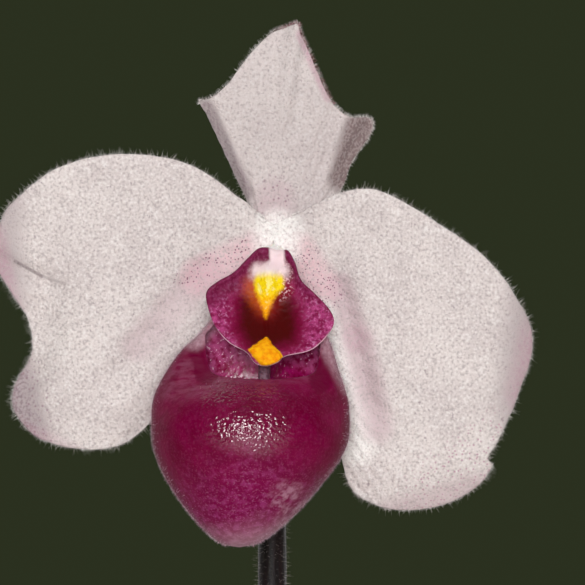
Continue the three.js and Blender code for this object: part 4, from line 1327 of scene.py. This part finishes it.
def lip_skin():
    finish = BloomFinish(
        "lip_skin", Specular_IOR_Level=0.1, Subsurface_Weight=0.04, Subsurface_Scale=1 * MM,
    )
    u = finish.u
    w = finish.w
    s = finish.shares.parts()[1] * MM
    inner = s.step(RIM_SHARE - 0.01, RIM_SHARE + 0.02)
    cloud = finish.place.grain(4, 4)
    net = finish.place.grain(0.9, 3)
    grit = finish.place.grain(0.3, 2)
    ragged = 1.1 * (finish.place.grain(0.6, 3) - 0.5)

    middle = (w + 0.5 * abs(u + 3) + 3 * (cloud - 0.5)).step(-40, -27)
    finish.colour = cloud.step(0.35, 0.65).tint((101, 0, 43), (114, 0, 54))
    finish.flush(1 - middle, 0.6, (122, 2, 72))
    finish.flush(net.step(0.44, 0.7) * (1 - 0.85 * middle), 0.5, (162, 62, 122))
    finish.flush(grit.step(0.5, 0.74) * (1 - 0.8 * middle), 0.4, (186, 112, 152))
    foot = (w + 4 * (cloud - 0.5) - 0.2 * u).step(-40, -47)
    finish.flush(foot * (0.35 + net), 0.75, (196, 158, 172))
    smear = net.step(0.3, 0.7) * finish.place.grain(2, 3).step(0.3, 0.6)
    finish.flush(finish.near((2.2, -39), (4.4, -44.6), 3.6) * smear, 0.4, (206, 170, 182))

    streaks = finish.place.grain(1.4, 3, stretch=(2.4, 1, 0.5))
    crest = s.step(RIM_SHARE - 0.05, RIM_SHARE - 0.02)
    finish.flush(crest * streaks.step(0.3, 0.6), 0.5, (128, 60, 88))
    # Painted sheen: a pale greyish-pink haze, in streaks, on the upper left of the pouch.
    painted_sheen = finish.near((-14.5, -21.5), (-10, -20.5), 4.5)
    finish.flush(painted_sheen * streaks.step(0.3, 0.65), 0.5, (142, 82, 106))

    # Inside the mouth the throat is painted a brighter magenta than the outside, as painted light in the
    # hollow. Under the shield it has a pale net and painted glints.
    throat = net.step(0.35, 0.65).tint((134, 0, 62), (170, 8, 98))
    under_shield = (w + 0.05 * (u + 1) * (u + 1)).step(-20.2, -17.4)
    throat = (under_shield * net.step(0.3, 0.6) * 0.45).tint(throat, (206, 116, 164))
    sparkle = finish.place.grain(0.45, 2).step(0.64, 0.7) * (0.25 + 0.7 * under_shield)
    finish.flush(inner, 1, (sparkle * 0.85).tint(throat, (248, 210, 226)))
    # Painted shade: the rim at the sides of the mouth is painted dark, over the light that its edge
    # catches.
    rim = abs(s - RIM_SHARE).step(0.03, 0.008)
    finish.flush(rim * w.step(-21.4, -19.6), 0.8, (112, 4, 54))

    # Painted shade: dark magenta on the outside at the mouth's two corners.
    left_corner_shade = finish.near((-10.6, -16), (-9.6, -20.6), 2.6)
    right_corner_shade = finish.near((6.6, -17.4), (7, -22), 2.2)
    corners = (left_corner_shade.most(right_corner_shade) + ragged).step(0.1, 0.7)
    finish.flush(corners * (1 - inner), 0.8, (96, 0, 42))
    left_shoulder = finish.near((-11.6, -15.4), (-9.6, -13), 3)
    right_shoulder = finish.near((8, -14), (12.4, -22), 3.6)
    shoulders = left_shoulder.most(right_shoulder).step(0, 1.1)
    finish.flush(shoulders * (0.6 + ragged), 0.8, (214, 178, 190))

    side = abs(u + 3).step(8, 12.5)
    patch = finish.near((-5.4, -26.6), (-1.8, -27.4), 7)
    relief = (1 - inner) * (0.05 + 0.26 * patch) + 0.06 * inner
    normal = finish.raised(relief * finish.place.grain(0.6, 1) + 0.04 * net + 0.01 * grit)
    rough = 0.28 + 0.06 * net + 0.2 * (1 - middle) + 0.2 * side * (1 - inner)
    finish.feed(Roughness=rough, Normal=normal)
    wax = {"Base Color": finish.colour, "Roughness": 0.19, "Specular IOR Level": 1, "Normal": normal}
    finish.coat(patch.step(0.05, 0.95), wax)
    return finish.material


rounded_off(piece("lip_pouch", lip_mesh, [lip_skin()], ["lip"]))


def pouch_roots(count, low, high):
    """Roots for down on the pouch, between two levels. Its glossy front is nearly bare."""
    roots = []
    while len(roots) < count:
        level = hair_draw.uniform(low, high)
        angle = hair_draw.uniform(0, 2 * math.pi)
        point = pouch_point(level, angle)
        across = pouch_point(level, angle + 0.02) - pouch_point(level, angle - 0.02)
        upward = pouch_point(min(level + 0.01, 1), angle) - pouch_point(max(level - 0.01, 0), angle)
        out = across.cross(upward).normalized()
        if -out.y < hair_draw.uniform(-0.2, 0.5):
            roots.append((point, out))
    return roots


pouch_down = bmesh.new()
hairs(pouch_down, pouch_roots(16000, 0.01, 0.97), length=0.5, radius=0.018, lean=0.3)
hairs(pouch_down, pouch_roots(500, 0.96, 1), length=0.45, radius=0.012, lean=0.4)
pink_hair = hair_finish("pink_hair", (190, 128, 158), (232, 198, 212))
piece("lip_down", pouch_down, [pink_hair])


# Column: a short white column that ends in a broad waxy shield, the staminode, hollow like a dish
# with a raised yellow keel above and a rough yellow tongue below. Behind it are two anthers and
# the stigma, which reaches down into the mouth of the lip.
SHIELD_MIDDLE = (-0.7, -10.8)
SHIELD_TOP = (-2.4, 8)
SHIELD_BOTTOM = (-19.2, 14.6)
SHIELD_THICKNESS = 0.9
ANTHERS = (-2.5, 1.9)
shield_outline = (
    (0.5, -2.8), (-0.8, -2.4), (-2.2, -2.6), (-3.9, -4.2), (-5.8, -6.1), (-8.2, -7.5), (-9.7, -8.9),
    (-9.6, -10.9), (-8.4, -14.1), (-6.4, -16.4), (-3.8, -17.9), (-2.6, -19.4), (-1, -19.9),
    (0.8, -19.3), (2, -18.4), (5.4, -17.6), (7.6, -15.9), (9, -13.6), (8.4, -11.6), (6.2, -9.2),
    (4.2, -7.2), (3.3, -4.6), (2.3, -2.9), (1.3, -2.8), (0.5, -2.8),
)
groove_outline = ((-0.6, -1.5), (-0.45, -4.2), (-1.2, -6.2), (2.2, -6.6), (1.8, -4.4), (1.65, -1.5))
keel_outline = (
    (-2.3, -5.7), (0.6, -5.2), (1.6, -6), (1.5, -8.4), (0.5, -9.5), (-0.2, -10.6), (-1, -12.8),
    (-1.5, -11.4), (-2, -10), (-2.5, -8.8), (-2.6, -7.2),
)
tongue_outline = (
    (-0.9, -15.6), (-0.45, -16), (-0.1, -16.7), (1.3, -18), (1.5, -18.5), (1, -19.4), (-0.1, -19.9),
    (-1.6, -19.8), (-2.9, -18.4), (-3.6, -17.4), (-2.3, -16.5), (-1.6, -16),
)
heart_outline = (
    (-5, -10), (-3, -8.6), (-1, -8.8), (2, -9), (3.2, -10.6), (3.8, -13.6), (3.4, -16.4), (0, -17.4),
    (-3.4, -17.2), (-5.2, -14.4),
)
shield_edge = outline_through(shield_outline)


def inside(outline):
    """How far a spot lies inside a closed outline, in millimetres. Outside it is below 0."""
    sides = list(zip(outline, outline[1:] + outline[:1]))

    def depth(u, w):
        nearest = math.inf
        within = False
        for (u0, w0), (u1, w1) in sides:
            share = ((u - u0) * (u1 - u0) + (w - w0) * (w1 - w0)) / ((u1 - u0) ** 2 + (w1 - w0) ** 2)
            share = min(max(share, 0), 1)
            nearest = min(nearest, math.hypot(u - lerp(u0, u1, share), w - lerp(w0, w1, share)))
            if (w0 > w) != (w1 > w) and u < u0 + (w - w0) * (u1 - u0) / (w1 - w0):
                within = not within
        return nearest if within else -nearest

    return depth


marks = {
    "groove": inside(groove_outline), "keel": inside(keel_outline),
    "tongue": inside(tongue_outline), "heart": inside(heart_outline),
}


def shield_relief(u, w, share):
    """What stands proud of the shield's front face, or is sunk into it."""
    rough = noise.noise(Vector((u * 2.6, w * 2.6, 2)))
    relief = 1.5 * bump(u, -0.6, 1.5) * bump(w, -7.4, 3) + 1.2 * bump(u, -1, 2.2) * bump(w, -17.9, 2)
    relief += (0.45 + 0.3 * rough) * smooth(marks["tongue"](u, w), -0.1, 0.4)
    relief += 0.2 * rough * smooth(marks["keel"](u, w), -0.2, 0.6)
    relief -= 0.5 * smooth(marks["groove"](u, w), -0.05, 0.2) * smooth(w, -5.8, -4.2)
    relief += 0.25 * bump(u, -0.9, 0.35) * bump(w, -14, 1.6)
    relief += 0.35 * bump(share, 0.95, 0.06) * smooth(w, -12, -6)
    relief += 0.07 * noise.noise(Vector((u * 1.7, w * 1.7, 5)))
    return relief


def shield_place(s, t):
    share = 1 - abs(2 * s - 1)
    rim_u, rim_w = shield_edge(t)
    u = lerp(SHIELD_MIDDLE[0], rim_u, share)
    w = lerp(SHIELD_MIDDLE[1], rim_w, share)
    down = (w - SHIELD_TOP[0]) / (SHIELD_BOTTOM[0] - SHIELD_TOP[0])
    depth = lerp(SHIELD_TOP[1], SHIELD_BOTTOM[1], down) + 1.8 * share**2 - 1
    rounded = SHIELD_THICKNESS / 2 * math.sqrt(1 - max(share - 0.9, 0) ** 2 * 100)
    if s <= 0.5:
        return in_bloom(u, depth + rounded + shield_relief(u, w, share), w)
    return in_bloom(u, depth - rounded, w)


shield_mesh = blade(88, 8 * (len(shield_outline) - 1), shield_place)
weld(shield_mesh)
for name, depth in marks.items():
    layer = shield_mesh.verts.layers.float.new(name)
    for vert in shield_mesh.verts:
        vert[layer] = depth(vert.co.x / MM - BLOOM.x, vert.co.z / MM - BLOOM.z)
column_spots = (
    (0, -2.25, -2.5), (0, 0.9, -3.9), (-0.1, 3.6, -5.1), (-0.3, 6.2, -5.9), (-0.5, 7.7, -6.8),
)
column_places = curve_through([in_bloom(*spot) for spot in column_spots], 30)
stigma_top = in_bloom(-0.7, 8.2, -8)
stigma_foot = in_bloom(-1.3, 10, -22.3)
stigma_places = [stigma_top.lerp(stigma_foot, k / 16) for k in range(17)]


def column_radius(s, angle):
    return 1.05 + 1.1 * smooth(s, 0, 0.36)


def stigma_radius(s, angle):
    return lerp(1.3, 0.85, s)


column_mesh = stem(column_places, column_radius, 28)
add_to(column_mesh, stem(stigma_places, stigma_radius, 20))
for u in ANTHERS:
    anther = bmesh.new()
    bmesh.ops.create_uvsphere(anther, u_segments=20, v_segments=14, radius=1)
    bmesh.ops.scale(anther, vec=(1.5 * MM, 1.4 * MM, 1.8 * MM), verts=anther.verts[:])
    bmesh.ops.translate(anther, vec=in_bloom(u, 6.2, -5) * MM, verts=anther.verts[:])
    add_to(column_mesh, anther)


def column_skin():
    finish = BloomFinish(
        "column_skin", Specular_IOR_Level=0.3, Subsurface_Weight=0.2, Subsurface_Scale=1 * MM,
    )
    grain = finish.place.grain(0.4, 2)
    light = grain.step(0.35, 0.65)
    finish.colour = light.tint((240, 231, 229), (252, 248, 246))
    finish.flush(finish.w.step(-15, -17), 1, light.tint((110, 68, 88), (146, 106, 122)))
    return finish.feed(Roughness=0.4 + 0.2 * grain, Normal=finish.raised(0.15 * grain))


def shield_skin():
    finish = BloomFinish(
        "shield_skin", Specular_IOR_Level=0.12, Subsurface_Weight=0.04, Subsurface_Scale=0.6 * MM,
    )
    u = finish.u
    w = finish.w
    keel = finish.layer("keel")
    heart = finish.layer("heart")
    mottle = finish.place.grain(1, 4)
    specks = finish.place.grain(0.42, 3)
    ragged = (finish.place.grain(0.5, 2) - 0.5) * 2

    finish.colour = mottle.step(0.34, 0.66).tint((124, 14, 66), (172, 64, 120))
    finish.flush(specks.step(0.5, 0.72), 0.6, (206, 134, 178))
    finish.flush(specks.step(0.48, 0.3), 0.6, (96, 4, 50))
    finish.flush((w + 0.62 * abs(u + 0.2)).step(-7.2, -4.6), 0.75, (98, 12, 50))
    finish.flush((heart + ragged * 0.5).step(-2.3, 0.1), 1, (120, 0, 54))
    finish.flush((heart + ragged * 0.7).step(-1.2, 1.5), 1, (72, 3, 4))

    below = (w + ragged * 0.5).step(-5.6, -8.4)
    glow = (keel + ragged * 0.3).step(-2.4, -0.1) * w.step(-14.4, -11.4)
    finish.flush(glow * below, 0.6, (136, 18, 14))
    orange = (keel + ragged * 0.5 - 0.35 * (u + 0.6)).step(-1.2, 0.6) * w.step(-13.4, -10.5)
    finish.flush(orange * below, 0.75, (190, 84, 20))
    glint = finish.place.grain(0.36, 1).step(0.55, 0.63) * keel.step(-2, -0.3) * u.step(0.2, 1.2)
    finish.flush(glint * w.step(-10.8, -9.6), 0.8, (238, 190, 202))
    blush = (keel + ragged * 0.4).step(-1.6, 0) * (w + ragged * 0.3).step(-8, -5.6)
    finish.flush(blush, 0.9, (240, 216, 216))

    yellow = w.step(-8.2, -11.4).tint((246, 214, 20), (250, 168, 4))
    yellow = (w + ragged * 0.25).step(-7.2, -5.6).tint(yellow, (247, 232, 214))
    arch = w + 0.2 * (u + 0.6) * (u + 0.6) + ragged * 0.3
    finish.flush((keel + ragged * 0.3).step(-0.5, 0.4) * arch.step(-5, -6.4), 1, yellow)
    shine = finish.place.grain(1.1, 2).step(0.5, 0.62) * keel.step(0.1, 0.7) * w.step(-6.6, -7.6)
    finish.flush(shine, 0.6, (252, 240, 160))
    groove = finish.layer("groove") / (1 + 3 * w.step(-3.6, -5.6)) + ragged * 0.1
    finish.flush(groove.step(-0.2, 0.2) * (w + ragged * 0.2).step(-6.6, -5), 1, (236, 212, 216))
    tongue = (finish.layer("tongue") + ragged * 0.2).step(-0.12, 0.12)
    pollen = finish.place.grain(0.8, 3).step(0.3, 0.7).tint((234, 138, 0), (250, 180, 14))
    finish.flush(tongue, 1, pollen)

    s = finish.shares.parts()[1] * MM
    # Painted highlight: a pale line along the rim of the shield's lower half.
    margin = abs(s - 0.5).step(0.012, 0.004) * (w + 0.3 * abs(u)).step(-11, -14)
    finish.flush(margin, 0.7, (226, 182, 200))
    finish.flush(s.step(0.5, 0.53), 0.6, (196, 140, 168))
    rough = 0.34 + 0.2 * specks + 0.2 * tongue
    return finish.feed(Roughness=rough, Normal=finish.raised(0.05 * mottle + 0.035 * specks))


piece("column_and_stigma", column_mesh, [column_skin()], sharp=60)
piece("shield", shield_mesh, [shield_skin()], ["column"], sharp=70)


# The boxes of the solids and of the finished plant.
boxes = {"cad": cad_box, "visual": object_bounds()}
{name: [list(corner) for corner in box] for name, box in boxes.items()}
